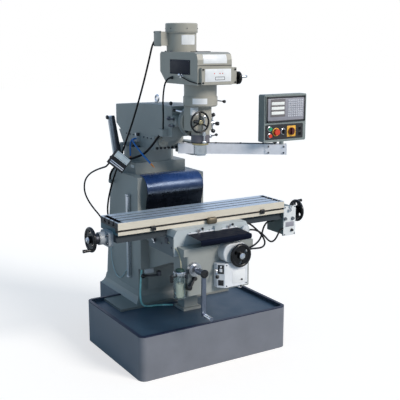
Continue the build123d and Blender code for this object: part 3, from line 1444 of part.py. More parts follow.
front_coolant_route = [
    (-bed_half - valve_depth, 452, 1411), (-149, 452, 1411), (-161.5, 447, 1408.5),
    (-171, 436.5, 1403), (-176, 421, 1395.5), (-179, 398, 1383), (-180, 358, 1364), (-179, 310, 1340),
    (-175, 260, 1312), (-170, 209, 1287), (-166, 158, 1263)]
side_coolant_route = [
    (-bed_half - valve_depth, 470, 1408), (-149, 470, 1407.5), (-162, 468, 1402), (-173, 463, 1391),
    (-181, 456, 1374), (-187, 447, 1350), (-191, 438, 1320), (-194, 431, 1289)]


def cord_group(name, routes):
    """Several cords that are kept together as one group of separate solids."""
    tubes = [cord(title, points, diameter) for title, points, diameter in routes]
    group = Compound(label=name, children=[solid for tube in tubes for solid in tube.solids()])
    export_step(group, f"parts/{name}.step")


cord_group("motor_cable", [("motor cable", motor_cable_route, motor_cord),
                           ("head cable", head_cable_route, head_cord),
                           ("column hose", column_hose_route, column_hose)])
cord_group("lamp_cable", [("lamp cable", lamp_cable_route, lamp_cord)])
cord_group("feed_cables", [("long feed cable", long_feed_route, feed_cord),
                           ("saddle feed cable", saddle_feed_route, feed_cord),
                           ("panel feed cable", panel_feed_route, feed_cord)])
cord_group("drain_hose", [("drain hose", drain_hose_route, drain_hose_size)])

# Coolant valve on the turret and its two hoses, each a chain of flared plastic links
coolant_links = [cord_links("coolant hose", route, link_step)
                 for route in (front_coolant_route, side_coolant_route)]
with BuildPart() as coolant_hoses:
    block((-bed_half - valve_depth, -bed_half), (valve_front, valve_front + valve_length),
          (valve_low, valve_low + valve_height))
    for links in coolant_links:
        for start, end in zip(links, links[1:]):
            rod(start, end, coolant_hose / 2, end_radius=coolant_hose / 2 - link_flare)
        nozzle = links[-1] + (links[-1] - links[-2]).normalized() * nozzle_length
        rod(links[-1], nozzle, nozzle_radius, end_radius=nozzle_tip)
finish(coolant_hoses, "coolant_hoses")
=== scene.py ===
# %% [markdown]
# A turret milling machine, dressed for a photograph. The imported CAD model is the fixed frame: its
# castings, screws and levers stay where they are and get finishes. New pieces add what a drawing leaves
# out, such as screws, plates, displays, cables and rubber covers. Sizes below are in millimetres, and
# each finished mesh is scaled to metres once, when it becomes a piece.

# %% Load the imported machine
import math
from itertools import product

import bmesh
import bpy
from mathutils import Matrix, Vector


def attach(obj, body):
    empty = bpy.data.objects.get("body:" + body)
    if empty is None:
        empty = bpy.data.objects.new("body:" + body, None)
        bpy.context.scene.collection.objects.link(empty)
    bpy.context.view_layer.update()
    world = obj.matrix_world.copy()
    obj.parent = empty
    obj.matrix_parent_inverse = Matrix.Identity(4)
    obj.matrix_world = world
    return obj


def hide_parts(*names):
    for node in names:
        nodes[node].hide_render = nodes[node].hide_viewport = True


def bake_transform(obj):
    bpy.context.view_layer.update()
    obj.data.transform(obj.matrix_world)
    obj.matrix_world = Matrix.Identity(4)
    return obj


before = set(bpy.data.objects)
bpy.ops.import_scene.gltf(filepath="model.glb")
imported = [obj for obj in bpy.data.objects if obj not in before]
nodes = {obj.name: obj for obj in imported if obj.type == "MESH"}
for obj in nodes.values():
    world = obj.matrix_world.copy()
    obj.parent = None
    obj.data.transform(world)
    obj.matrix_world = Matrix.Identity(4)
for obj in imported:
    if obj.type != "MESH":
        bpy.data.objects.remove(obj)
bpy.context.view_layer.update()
scene = bpy.context.scene
MM = 0.001
print("CAD nodes:", len(nodes))


def at(x, y, z):
    """A point given in millimetres, in metres."""
    return Vector((x, y, z)) * MM


def linked(name, data):
    """A new object in the scene."""
    thing = bpy.data.objects.new(name, data)
    scene.collection.objects.link(thing)
    return thing


def add_node(tree, kind, inputs=None, **settings):
    """A new shader node with its settings, and with plain values on some of its inputs."""
    node = tree.nodes.new("ShaderNode" + kind)
    for name, value in settings.items():
        setattr(node, name, value)
    for socket, value in (inputs or {}).items():
        node.inputs[socket].default_value = value
    return node


def join(tree, *pairs):
    """Links from outputs to inputs."""
    for start, end in pairs:
        tree.links.new(start, end)


# %% [markdown]
# The camera stands where the photographer stood: in front of the machine and to its left, a little above
# the table. The lens is long, so upright edges stay nearly parallel.

# %% Camera
LOOK_DOWN, LOOK_RIGHT = 11.769, 31.393
view_data = bpy.data.cameras.new("camera")
view_data.sensor_width = 36.0
view_data.lens = 68.1
camera = linked("camera", view_data)
camera.location = at(-2539.0, -4357.5, 2080.5)
camera.rotation_euler = (math.radians(90 - LOOK_DOWN), 0, math.radians(-LOOK_RIGHT))
scene.camera = camera
scene.view_settings.view_transform = "Standard"
print("camera at", [round(c, 3) for c in camera.location])

# %% [markdown]
# The light is a soft, slightly warm lamp from the front right and a cool sky. The left sides of the
# castings then fall into a blue-grey shade while the fronts keep their own colour. The sky that metal and
# rubber mirror is white at the horizon and blue overhead.

# %% Light, sky and floor
MIX_ONE, MIX_OTHER, MIX_RESULT = 6, 7, 2  # a mix node's sockets for colours

lamp_data = bpy.data.lights.new("window_light", "SUN")
lamp_data.energy = 2.7
lamp_data.angle = math.radians(22)
lamp_data.color = (1.0, 0.93, 0.84)
window_light = linked("window_light", lamp_data)
window_light.rotation_euler = Vector((-0.36, 0.78, -0.52)).to_track_quat("-Z", "Y").to_euler()

sky = bpy.data.worlds.new("sky")
scene.world = sky
sky.use_nodes = True
tree = sky.node_tree
tree.nodes.clear()
direction, split = add_node(tree, "TexCoord"), add_node(tree, "SeparateXYZ")
height = add_node(tree, "MapRange", {"From Max": 0.55})
horizon, overhead = (0.92, 0.95, 1.0, 1), (0.36, 0.50, 0.74, 1)
colours = add_node(tree, "Mix", {MIX_ONE: horizon, MIX_OTHER: overhead}, data_type="RGBA")
rays, mirrored = add_node(tree, "LightPath"), add_node(tree, "Math", operation="MAXIMUM")
shade = add_node(tree, "Background", {"Color": (0.45, 0.74, 1.0, 1), "Strength": 0.46})
mirror, white = add_node(tree, "Background"), add_node(tree, "Background", {"Color": (1, 1, 1, 1)})
first, second = add_node(tree, "MixShader"), add_node(tree, "MixShader")
out = add_node(tree, "OutputWorld")
join(tree, (direction.outputs["Generated"], split.inputs[0]), (split.outputs["Z"], height.inputs["Value"]),
     (height.outputs[0], colours.inputs[0]), (colours.outputs[MIX_RESULT], mirror.inputs["Color"]),
     (rays.outputs["Is Glossy Ray"], mirrored.inputs[0]),
     (rays.outputs["Is Transmission Ray"], mirrored.inputs[1]), (mirrored.outputs[0], first.inputs[0]),
     (shade.outputs[0], first.inputs[1]), (mirror.outputs[0], first.inputs[2]),
     (rays.outputs["Is Camera Ray"], second.inputs[0]), (first.outputs[0], second.inputs[1]),
     (white.outputs[0], second.inputs[2]), (second.outputs[0], out.inputs["Surface"]))

floor_mesh = bpy.data.meshes.new("floor")
ground = bmesh.new()
bmesh.ops.create_grid(ground, x_segments=1, y_segments=1, size=30)
ground.to_mesh(floor_mesh)
ground.free()
floor = linked("floor", floor_mesh)
floor_paint = bpy.data.materials.new("pale_floor")
floor_paint.use_nodes = True
tree = floor_paint.node_tree
shader = tree.nodes["Principled BSDF"]
for socket, value in (("Base Color", (0.56, 0.56, 0.56, 1)), ("Roughness", 0.9),
                      ("Emission Color", (1.0, 0.94, 0.90, 1))):
    shader.inputs[socket].default_value = value
seen, lift = add_node(tree, "LightPath"), add_node(tree, "Math", {1: 0.62}, operation="MULTIPLY")
join(tree, (seen.outputs["Is Camera Ray"], lift.inputs[0]),
     (lift.outputs[0], shader.inputs["Emission Strength"]))
floor_mesh.materials.append(floor_paint)
print("stage ready")

# %% [markdown]
# Every finish starts from the same few parts. A colour is written as a painter reads it, from 0 to 255.
# Grain is a noise in the piece's own coordinates, in metres, so that it has one size on every casting.
# A region is a box in those coordinates, for a node that has more than one colour.


# %% Tools for finishes
def tone(red, green, blue):
    """A colour from 0 to 255, made linear for a shader."""
    parts = [c / 255 for c in (red, green, blue)]
    return tuple(c / 12.92 if c < 0.04 else ((c + 0.055) / 1.055) ** 2.4 for c in parts) + (1.0,)


def shaded(colour, share):
    """The same colour, lighter or darker."""
    return tuple(min(1.0, c * share) for c in colour[:3]) + (1.0,)


def new_finish(name, rough, metal=0.0, sockets=None):
    """A material with its shader's plain sockets set."""
    material = bpy.data.materials.new(name)
    material.use_nodes = True
    shader = material.node_tree.nodes["Principled BSDF"]
    for socket, value in {"Roughness": rough, "Metallic": metal, **(sockets or {})}.items():
        shader.inputs[socket].default_value = value
    return material, material.node_tree, shader


def grain(tree, scale, stretch=(1, 1, 1), detail=4.0):
    """A noise in the piece's own coordinates."""
    where = add_node(tree, "TexCoord").outputs["Object"]
    turn = add_node(tree, "Mapping", {"Scale": stretch})
    noise = add_node(tree, "TexNoise", {"Scale": scale, "Detail": detail})
    join(tree, (where, turn.inputs["Vector"]), (turn.outputs["Vector"], noise.inputs["Vector"]))
    return noise.outputs[0]


def ranged(tree, value, low, high, out_low=0.0, out_high=1.0):
    """A value stretched from one range to another and held there."""
    node = add_node(tree, "MapRange", {
        "From Min": low, "From Max": high, "To Min": out_low, "To Max": out_high})
    join(tree, (value, node.inputs["Value"]))
    return node.outputs[0]


def mixed(tree, share, one, other):
    """A colour between two, each a colour or a socket."""
    node = add_node(tree, "Mix", data_type="RGBA")
    join(tree, (share, node.inputs[0]))
    for socket, colour in ((MIX_ONE, one), (MIX_OTHER, other)):
        if isinstance(colour, bpy.types.NodeSocket):
            join(tree, (colour, node.inputs[socket]))
        else:
            node.inputs[socket].default_value = colour
    return node.outputs[MIX_RESULT]


def inside(tree, low, high):
    """1 within a box of the piece's own coordinates in millimetres, and 0 outside it."""
    where = add_node(tree, "TexCoord").outputs["Object"]
    centre = [(a + b) / 2 * MM for a, b in zip(low, high)]
    half = [(b - a) / 2 * MM for a, b in zip(low, high)]
    for operation, inputs in (("SUBTRACT", {1: centre}), ("ABSOLUTE", {}), ("SUBTRACT", {1: half})):
        step = add_node(tree, "VectorMath", inputs, operation=operation)
        join(tree, (where, step.inputs[0]))
        where = step.outputs[0]
    parts = add_node(tree, "SeparateXYZ")
    join(tree, (where, parts.inputs[0]))
    value = parts.outputs["X"]
    for axis in "YZ":
        step = add_node(tree, "Math", operation="MAXIMUM")
        join(tree, (value, step.inputs[0]), (parts.outputs[axis], step.inputs[1]))
        value = step.outputs[0]
    test = add_node(tree, "Math", {1: 0.0}, operation="LESS_THAN")
    join(tree, (value, test.inputs[0]))
    return test.outputs[0]


def bump(tree, shader, value, strength, depth):
    """Fine relief from a noise."""
    node = add_node(tree, "Bump", {"Strength": strength, "Distance": depth * MM})
    join(tree, (value, node.inputs["Height"]), (node.outputs[0], shader.inputs["Normal"]))


print("finish tools ready")

# %% [markdown]
# Castings on such a machine are filled, sprayed and a little uneven: the paint has a soft mottle over
# hand widths, a fine peel, and a gloss that changes where it was rubbed. Regions let one casting carry
# a second colour or painted shade, such as the dark blue inside of the chip tray, which is painted shade
# and sky reflection in its recess. Metal, plastic and rubber are made alike.

# %% Paint, metal, plastic, rubber and glass
MOTTLE, PEEL = 0.07, 0.10


def painted(name, colour, rough=0.42, regions=()):
    """Sprayed paint on a casting, with boxes of other colours."""
    material, tree, shader = new_finish(name, rough)
    cloud = ranged(tree, grain(tree, 7.0, detail=5.0), 0.3, 0.7)
    if regions:
        body = colour
        for low, high, other in regions:
            body = mixed(tree, inside(tree, low, high), body, other)
        dark = add_node(tree, "Mix", {0: 1.0}, data_type="RGBA", blend_type="MULTIPLY")
        clouded = mixed(tree, cloud, shaded((1, 1, 1), 1 - 2 * MOTTLE), (1, 1, 1, 1))
        join(tree, (body, dark.inputs[MIX_ONE]), (clouded, dark.inputs[MIX_OTHER]))
        base = dark.outputs[MIX_RESULT]
    else:
        speck = ranged(tree, grain(tree, 240.0, detail=2.0), 0.35, 0.65)
        large = mixed(tree, cloud, shaded(colour, 1 - MOTTLE), shaded(colour, 1 + MOTTLE))
        base = mixed(tree, ranged(tree, speck, 0, 1, 0, 0.25), large, shaded(colour, 1 - 2 * MOTTLE))
    join(tree, (base, shader.inputs["Base Color"]),
         (ranged(tree, cloud, 0, 1, rough - 0.06, rough + 0.08), shader.inputs["Roughness"]))
    bump(tree, shader, grain(tree, 330.0, detail=3.0), PEEL, 0.6)
    return material


def steel(name, colour, rough, stretch=(1, 1, 1), scale=60.0, relief=0.06):
    """Bare metal with the fine lines that its machining left along one direction."""
    material, tree, shader = new_finish(name, rough, 1.0)
    lines = grain(tree, scale, stretch, detail=6.0)
    soft = ranged(tree, lines, 0.3, 0.7)
    join(tree, (mixed(tree, soft, shaded(colour, 0.82), shaded(colour, 1.08)), shader.inputs["Base Color"]),
         (ranged(tree, lines, 0.3, 0.7, rough - 0.07, rough + 0.1), shader.inputs["Roughness"]))
    bump(tree, shader, lines, relief, 0.2)
    return material


def moulded(name, colour, rough, texture=0.05, sockets=None):
    """Plastic or stoved enamel with a faint moulded texture."""
    material, tree, shader = new_finish(name, rough, 0.0, sockets)
    cloud = ranged(tree, grain(tree, 25.0), 0.3, 0.7)
    join(tree, (mixed(tree, cloud, shaded(colour, 0.93), shaded(colour, 1.05)), shader.inputs["Base Color"]),
         (ranged(tree, cloud, 0, 1, rough - 0.04, rough + 0.06), shader.inputs["Roughness"]))
    bump(tree, shader, grain(tree, 900.0, detail=2.0), texture, 0.3)
    return material


def rubber(name, colour, rough, sheen=(1, 1, 1, 1), level=0.5, coat=0.0, painted_sky_sheen=None):
    """Dusty rubber with a tinted gloss. A painted sky sheen is a second colour, a painted reflection of the
    sky, that it fades to between two heights.
    """
    material, tree, shader = new_finish(name, rough, 0.0, {
        "Specular Tint": sheen, "Specular IOR Level": level, "Coat Weight": coat, "Coat Roughness": 0.18})
    dust = ranged(tree, grain(tree, 18.0, detail=6.0), 0.4, 0.75)
    sheet = mixed(tree, dust, colour, shaded(colour, 1.9))
    # painted reflection: a sky blue that the colour fades to towards the top
    if painted_sky_sheen:
        other, low, high = painted_sky_sheen
        parts = add_node(tree, "SeparateXYZ")
        join(tree, (add_node(tree, "TexCoord").outputs["Object"], parts.inputs[0]))
        sheet = mixed(tree, ranged(tree, parts.outputs["Z"], low * MM, high * MM), sheet, other)
    join(tree, (sheet, shader.inputs["Base Color"]),
         (ranged(tree, dust, 0, 1, rough - 0.04, rough + 0.12), shader.inputs["Roughness"]))
    bump(tree, shader, grain(tree, 420.0, detail=3.0), 0.05, 0.4)
    return material


MACHINE_GREY, WARM_GREY = tone(150, 153, 151), tone(166, 162, 152)
TRAY_GREY, TRAY_SHADE_BLUE, RIM_BLUE = tone(120, 122, 131), tone(50, 72, 92), tone(20, 30, 58)
ORANGE = tone(232, 140, 60)

# The tray's inside is a dark blue that is painted shade and sky reflection in the recess, and the raised
# platform at its back is the casting grey darkened as painted shade.
tray_paint = painted("tray_paint", TRAY_GREY, 0.40, (
    ((-543.5, -401, 268), (543.5, 401, 294), TRAY_SHADE_BLUE),
    ((-441, 119, 268), (441, 401, 294), shaded(MACHINE_GREY, 0.75)),
    ((-570, -425, 290.5), (570, 421, 300), RIM_BLUE)))
grey_paint = painted("grey_casting_paint", MACHINE_GREY)
warm_paint = painted("warm_casting_paint", WARM_GREY)
head_paint = painted("head_casting_paint", WARM_GREY, regions=(
    ((-62, -264, 1446.5), (62, -138, 1500), tone(108, 104, 112)),
    ((-62, -264, 1440), (62, -138, 1452), tone(20, 20, 23))))
# The saddle's left face is a darker grey, painted shade on the side away from the light.
saddle_paint = painted("saddle_paint", tone(190, 197, 201), 0.38, (
    ((-293, -366, 730), (-286, 31, 923), tone(104, 114, 120)),))
white_enamel = moulded("white_enamel", tone(224, 225, 230), 0.32)
arm_enamel = moulded("arm_enamel", tone(234, 234, 241), 0.34)
black_enamel = moulded("black_enamel", tone(9, 9, 12), 0.24, 0.02, {
    "Specular IOR Level": 0.3, "Coat Weight": 0.2})
black_plastic = moulded("black_plastic", tone(26, 26, 29), 0.30)
dull_black = moulded("dull_black", tone(30, 31, 35), 0.5)
bare_plate = moulded("bare_plate", tone(232, 232, 234), 0.36, 0.02)
bright_steel = steel("bright_steel", tone(208, 210, 214), 0.24, (1, 1, 6))
turned_steel = steel("turned_steel", tone(196, 198, 202), 0.30, (8, 8, 1), 90.0)
oiled_steel = steel("oiled_steel", tone(66, 68, 74), 0.42, (8, 8, 1), 90.0)
dark_steel = steel("dark_steel", tone(92, 96, 104), 0.38, (1, 1, 3))
chrome = steel("chrome_plate", tone(228, 230, 233), 0.12, scale=30.0, relief=0.02)
# The way cover's colour fades to a blue towards its top, a painted reflection of the sky.
cover_rubber = rubber("cover_rubber", tone(9, 10, 15), 0.26, (0.55, 0.72, 1.0, 1), 0.5, 0.10,
                      (tone(36, 62, 112), 1075, 1150))
guard_rubber = rubber("guard_rubber", tone(8, 10, 20), 0.58, (0.35, 0.5, 1.0, 1), 0.12)
cable_rubber = rubber("cable_sheath", tone(5, 5, 7), 0.44, level=0.2)
hose_rubber = rubber("drain_hose_rubber", tone(142, 208, 206), 0.30)
red_plastic = moulded("red_plastic", tone(214, 64, 40), 0.28)
green_plastic = moulded("green_plastic", tone(36, 150, 104), 0.28)
yellow_plastic = moulded("yellow_plastic", tone(240, 178, 60), 0.32)
dark_red_plastic = moulded("dark_red_plastic", tone(84, 26, 20), 0.30)
navy_plate = moulded("navy_plate", tone(12, 20, 38), 0.5, 0.02, {"Specular IOR Level": 0.25})
panel_grey = moulded("panel_grey", tone(150, 148, 158), 0.38, 0.02)
key_plastic = moulded("key_plastic", tone(196, 196, 204), 0.40)
dull_grey_knob = moulded("grey_knob", tone(112, 116, 122), 0.40)
display_white = moulded("display_window", tone(244, 243, 240), 0.20, 0.01)
display_dark = moulded("display_glass", tone(118, 112, 114), 0.12, 0.01)
bracket_paint = painted("bracket_paint", tone(158, 162, 168), 0.36)
pale_cast = painted("pale_cast_paint", tone(206, 208, 212), 0.36)
console_paint = painted("console_paint", tone(128, 136, 135), 0.44)
feed_paint = painted("feed_unit_paint", tone(118, 132, 130), regions=(
    ((630, -290, 745), (745, -269.5, 970), tone(228, 230, 232)),))
crank_steel = steel("crank_steel", tone(124, 132, 148), 0.34, (1, 1, 4))
aluminium = steel("aluminium", tone(206, 212, 218), 0.32, (1, 1, 8), 50.0)
brass = steel("brass", tone(184, 172, 134), 0.36)
worn_bronze = steel("worn_bronze", tone(112, 104, 90), 0.48)
tube_plastic = moulded("lubricant_tube", tone(196, 190, 160), 0.25, 0.01)
clear_tube = moulded("clear_tube", tone(176, 200, 204), 0.18, 0.01)
cap_green = moulded("jar_cap_green", tone(40, 66, 60), 0.40)
oil = moulded("lubricating_oil", tone(228, 220, 202), 0.18, 0.01)
jar_glass = new_finish("jar_glass", 0.04, 0.0, {
    "Base Color": (0.86, 0.95, 0.93, 1), "Transmission Weight": 1.0, "IOR": 1.45, "Coat Weight": 0.4})[0]
print("finishes:", len(bpy.data.materials))

# %% [markdown]
# The table is one casting with several faces: a ground top that mirrors the sky, with a painted sky
# reflection in its bluish colour, sides that are scraped and oiled to a warm cream, and dull ways below.
# Painted shade darkens the slots, a strip that stands for the front groove, the ways and the left end face.
# The coolant hoses take their blue and orange from regions in the same way.


# %% Nodes of several colours
def table_metal():
    """Ground top with a painted sky reflection, warm sides, and painted shade in the slots, the groove strip,
    the dull ways and on the left end, on one node.
    """
    material, tree, shader = new_finish("table_metal", 0.30, 1.0)
    cream = tone(222, 212, 196)
    lines = grain(tree, 40.0, (0.6, 9, 9), 6.0)
    soft = ranged(tree, lines, 0.3, 0.7)
    top = inside(tree, (-640, -280, 1000.5), (640, -20, 1004))
    # painted shade: the slots are darkened as their recesses fall in shade
    slot_shade = inside(tree, (-636, -276.5, 960), (636, -23.5, 1000.5))
    # painted shade: the left end face is a dark teal, the end in shade
    left_end_shade = inside(tree, (-640, -280, 860), (-634, -20, 1004))
    # painted shade: a dark strip along the front stands for the shade in a groove that is not modelled
    groove_shade = inside(tree, (-640, -276.8, 935), (640, -240, 960))
    # painted shade: the ways under the table are darkened where the table's overhang shades them; their dull
    # roughness is real
    shaded_ways = inside(tree, (-640, -276, 860), (640, -24, 921.5))
    side = mixed(tree, left_end_shade, mixed(tree, soft, shaded(cream, 0.9), cream), tone(52, 92, 104))
    side = mixed(tree, shaded_ways, mixed(tree, groove_shade, side, tone(44, 38, 36)), tone(62, 68, 74))
    # painted reflection: the ground top is tinted light blue for the sky it mirrors
    top_with_sky_reflection = mixed(tree, soft, tone(188, 202, 220), tone(220, 230, 241))
    colour = mixed(tree, slot_shade, mixed(tree, top, side, top_with_sky_reflection), tone(24, 28, 36))
    oily = add_node(tree, "Math", operation="MAXIMUM")
    join(tree, (colour, shader.inputs["Base Color"]),
         (ranged(tree, top, 0, 1, 0.1, 0.6), shader.inputs["Metallic"]),
         (ranged(tree, shaded_ways, 0, 1, 0.5, 0.1), shader.inputs["Specular IOR Level"]),
         (ranged(tree, lines, 0.3, 0.7, 0.26, 0.42), oily.inputs[0]),
         (ranged(tree, shaded_ways, 0, 1, 0, 0.8), oily.inputs[1]), (oily.outputs[0], shader.inputs["Roughness"]))
    bump(tree, shader, lines, 0.05, 0.2)
    return material


def hose_plastic():
    """Blue hose links with orange nozzles at both ends and a grey valve block."""
    material, tree, shader = new_finish("coolant_hose_plastic", 0.30)
    colour = tone(20, 112, 192)
    for low, high, other in (((-200, 100, 1226), (-120, 170, 1283), ORANGE),
                             ((-215, 405, 1241), (-180, 436, 1293), ORANGE),
                             ((-137, 430, 1389), (-114, 486, 1431), tone(170, 174, 180))):
        colour = mixed(tree, inside(tree, low, high), colour, other)
    join(tree, (colour, shader.inputs["Base Color"]))
    bump(tree, shader, grain(tree, 700.0), 0.05, 0.3)
    return material


finishes = {
    tray_paint: "base_tray",
    grey_paint: "column screw_pedestal knee turret lamp_bracket ram ram_adapter",
    warm_paint: "gear_housing belt_housing motor",
    head_paint: "head_casting",
    console_paint: "console_box",
    feed_paint: "x_feed_gearbox",
    saddle_paint: "saddle",
    pale_cast: "y_feed_gearbox",
    bracket_paint: "left_bracket",
    crank_steel: "knee_crank",
    aluminium: "lamp_upper_arm",
    chrome: "eye_bolt quill spindle",
    table_metal(): "table",
    oiled_steel: "elevating_screw cross_screw table_screw motor_pulley spindle_pulley",
    turned_steel: "knee_dial",
    bright_steel: "table_lock_left table_lock_right hi_lo_lever quill_lock_lever x_feed_lever y_feed_lever "
                  "quill_capstan",
    dull_black: "knee_lock_lever lamp_lower_arm lamp_head selector_switch drive_belt",
    black_enamel: "y_handwheel left_handwheel right_handwheel fine_feed_wheel speed_wheel",
    white_enamel: "y_feed_box",
    arm_enamel: "pendant_arm",
    green_plastic: "start_button",
    red_plastic: "stop_button emergency_stop",
    dark_red_plastic: "main_switch",
    hose_plastic(): "coolant_hoses",
}
for finish, names in finishes.items():
    for name in names.split():
        nodes[name].data.materials.clear()
        nodes[name].data.materials.append(finish)
print("nodes finished:", sum(len(names.split()) for names in finishes.values()))

# %% [markdown]
# Cables and hoses are drawn as smooth lines through the places where they hang. A line that crosses the
# machine's joints is cut into stretches, one for each pair of neighbouring bodies on its way, and a line
# that stays on one body rides on it.


# %% Cables and hoses
def curve_mesh(points, kind, radius=0.0):
    """The mesh of a curve through points in metres: a bare line, or a tube when it has a radius."""
    curve = bpy.data.curves.new("curve", "CURVE")
    curve.dimensions = "3D"
    curve.bevel_depth, curve.bevel_resolution, curve.use_fill_caps = radius, 4, radius > 0
    spline = curve.splines.new(kind)
    spline.points.add(len(points) - 1)
    for place, point in zip(spline.points, points):
        place.co = (*point, 1)
    if kind == "NURBS":
        spline.order_u, spline.use_endpoint_u, spline.resolution_u = 3, True, 8
    holder = bpy.data.objects.new("curve", curve)
    mesh = bpy.data.meshes.new_from_object(holder)
    bpy.data.objects.remove(holder)
    bpy.data.curves.remove(curve)
    return mesh


def smooth_line(route):
    """Points in metres along a smooth curve that follows a route in millimetres."""
    mesh = curve_mesh([at(*point) for point in route], "NURBS")
    line = [vertex.co.copy() for vertex in mesh.vertices]
    bpy.data.meshes.remove(mesh)
    return line


def sheath(name, line, diameter, finish):
    """A round tube along a line."""
    mesh = curve_mesh(line, "POLY", diameter / 2 * MM)
    mesh.name = name
    mesh.materials.clear()
    mesh.materials.append(finish)
    mesh.shade_smooth()
    return linked(name, mesh)


def run_length(line):
    """The length of a line in metres."""
    return sum((b - a).length for a, b in zip(line, line[1:]))


def hang(name, diameter, bodies, route, node=None, finish=cable_rubber):
    """A cable along a route, cut into one stretch for each pair of neighbouring bodies."""
    line = smooth_line(route)
    total, stretches = run_length(line), max(1, len(bodies) - 1)
    walked, cuts = 0.0, [0]
    for index, (a, b) in enumerate(zip(line, line[1:]), 1):
        walked += (b - a).length
        if len(cuts) < stretches and walked >= total * len(cuts) / stretches:
            cuts.append(index)
    cuts.append(len(line) - 1)
    for number, (start, end) in enumerate(zip(cuts, cuts[1:])):
        part = line[start:end + 1]
        tube = sheath(f"{name}_{number + 1}", part, diameter, finish)
        if len(bodies) > 1:
            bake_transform(tube)
        else:
            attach(tube, bodies[0])
        if node:
            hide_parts(node)
    print(f"{name}: {total:.3f} m in {stretches} stretches")


LEAD = 12
hang("motor_lead", 13, ["head", "adapter", "ram", "turret", "base"], [
    (-120, 126.5, 2102), (-120, 154, 2102), (-121, 181, 2092), (-123, 203, 2072), (-126, 218, 2044),
    (-130, 228, 2008), (-139, 252, 1929), (-155, 292, 1801), (-180, 350, 1631), (-204, 394, 1501),
    (-222, 421, 1423), (-250, 448, 1318), (-280, 478, 1205), (-300, 522, 1092), (-306, 568, 990),
    (-303, 600, 915), (-297, 617, 868), (-291.5, 622.5, 836), (-291, 623, 819.5)], "motor_cable")
hang("head_lead", 11, ["head", "adapter", "ram"], [
    (-120.5, -56, 1858), (-139, -56, 1858), (-156, -54, 1850), (-168, -49, 1833), (-173, -41, 1807),
    (-172, -27, 1771), (-167, -8, 1723), (-159, 6, 1671), (-149, 22, 1601), (-143.5, 36, 1546),
    (-143, 38, 1516.5)], "motor_cable")
hang("column_hose", 16, ["ram", "turret", "base"], [
    (-135, 85.4, 1485.7), (-135.3, 101, 1472.1), (-138, 128, 1450), (-143, 172, 1409), (-149, 219, 1371),
    (-158, 274, 1329), (-176, 325, 1305), (-200, 364, 1288), (-221, 402, 1278), (-240, 445, 1266),
    (-252, 497, 1238), (-270, 540, 1202), (-285, 563, 1168), (-291.3, 573, 1137), (-291, 574, 1112.5)],
    "motor_cable")
hang("lamp_lead", LEAD, ["lamp_head", "lamp_upper", "lamp_lower", "turret", "base"], [
    (-375.3, 402.3, 1258.7), (-385, 405.2, 1246.4), (-392, 416, 1236), (-396, 440, 1228), (-398, 480, 1217),
    (-397, 555, 1196), (-396, 651, 1164), (-394, 731, 1127), (-388, 805, 1080), (-378, 852, 1019),
    (-364, 868, 961), (-346, 851, 909), (-328, 806, 861), (-308, 738, 816), (-297.5, 694, 776),
    (-293.5, 673, 746), (-291.7, 663.5, 722), (-291, 660.5, 704.5), (-291, 660, 690.5)], "lamp_cable")
hang("table_feed_lead", LEAD, ["knee", "saddle", "table"], [
    (181.5, -455, 768.5), (197, -455, 768.5), (220, -453, 769), (252, -446, 773), (290, -430, 780),
    (344, -398, 793), (396, -350, 815), (445, -295, 836), (500, -245, 850), (556, -200, 852),
    (592, -170, 845), (614, -157, 840), (634.5, -156, 839)], "feed_cables")
hang("saddle_lead", LEAD, ["saddle", "knee"], [
    (292.5, -305, 892), (307, -305, 892), (323, -307, 886), (340, -312, 873), (358, -319, 856),
    (378, -328, 836), (396, -340, 812), (406, -356, 787), (404, -375, 765), (388, -392, 750),
    (360, -408, 743), (320, -426, 746), (275, -450, 756), (235, -470, 765), (208, -479.5, 768),
    (181.5, -480, 768.5)], "feed_cables")
hang("panel_lead", LEAD, ["saddle", "table"], [
    (292.5, -334, 853), (306, -334, 853), (323, -336, 852), (350, -338, 846), (388, -335, 828),
    (430, -328, 796), (464, -320, 763), (490, -313, 743), (515, -306, 735), (540, -300, 740),
    (562, -293, 756), (580, -286, 774), (596, -279, 790), (614, -272, 803), (634.5, -270.5, 804.5)],
    "feed_cables")
hang("drain_line", 13, ["knee", "base"], [
    (-285, 105, 559.5), (-285.5, 105, 540), (-290, 103, 515), (-295, 99, 480), (-298, 99, 440),
    (-298, 104, 398), (-296, 108, 366), (-294, 108, 340), (-291, 106, 321), (-284, 104, 304),
    (-270, 103, 290.5), (-250, 102, 283.6), (-225, 101, 281.2), (-190, 97, 280.8), (-150, 86, 280.8),
    (-110, 66, 280.8), (-75, 42, 280.8)], "drain_hose", hose_rubber)

# %% [markdown]
# Rigid trim is modelled in a few shapes: a turned shape is spun from half of its outline, and a slab is a
# block with rounded edges. Shapes are put together in one mesh and become a piece that rides on a body.

# %% Tools for pieces
FRONT, BACK, LEFT, RIGHT, UP = (0, -1, 0), (0, 1, 0), (-1, 0, 0), (1, 0, 0), (0, 0, 1)
SHARP_ANGLE = math.radians(35)
EASE = 0.8
move = Matrix.Translation


def turned(profile, steps):
    """A shape spun about Z from (radius, height) points."""
    bm = bmesh.new()
    verts = [bm.verts.new((radius, 0, high)) for radius, high in profile]
    edges = [bm.edges.new(pair) for pair in zip(verts, verts[1:])]
    bmesh.ops.spin(bm, geom=verts + edges, cent=(0, 0, 0), axis=UP, dvec=(0, 0, 0),
                   angle=math.tau, steps=steps, use_merge=True, use_duplicate=False)
    bmesh.ops.remove_doubles(bm, verts=bm.verts, dist=0.001)
    return bm


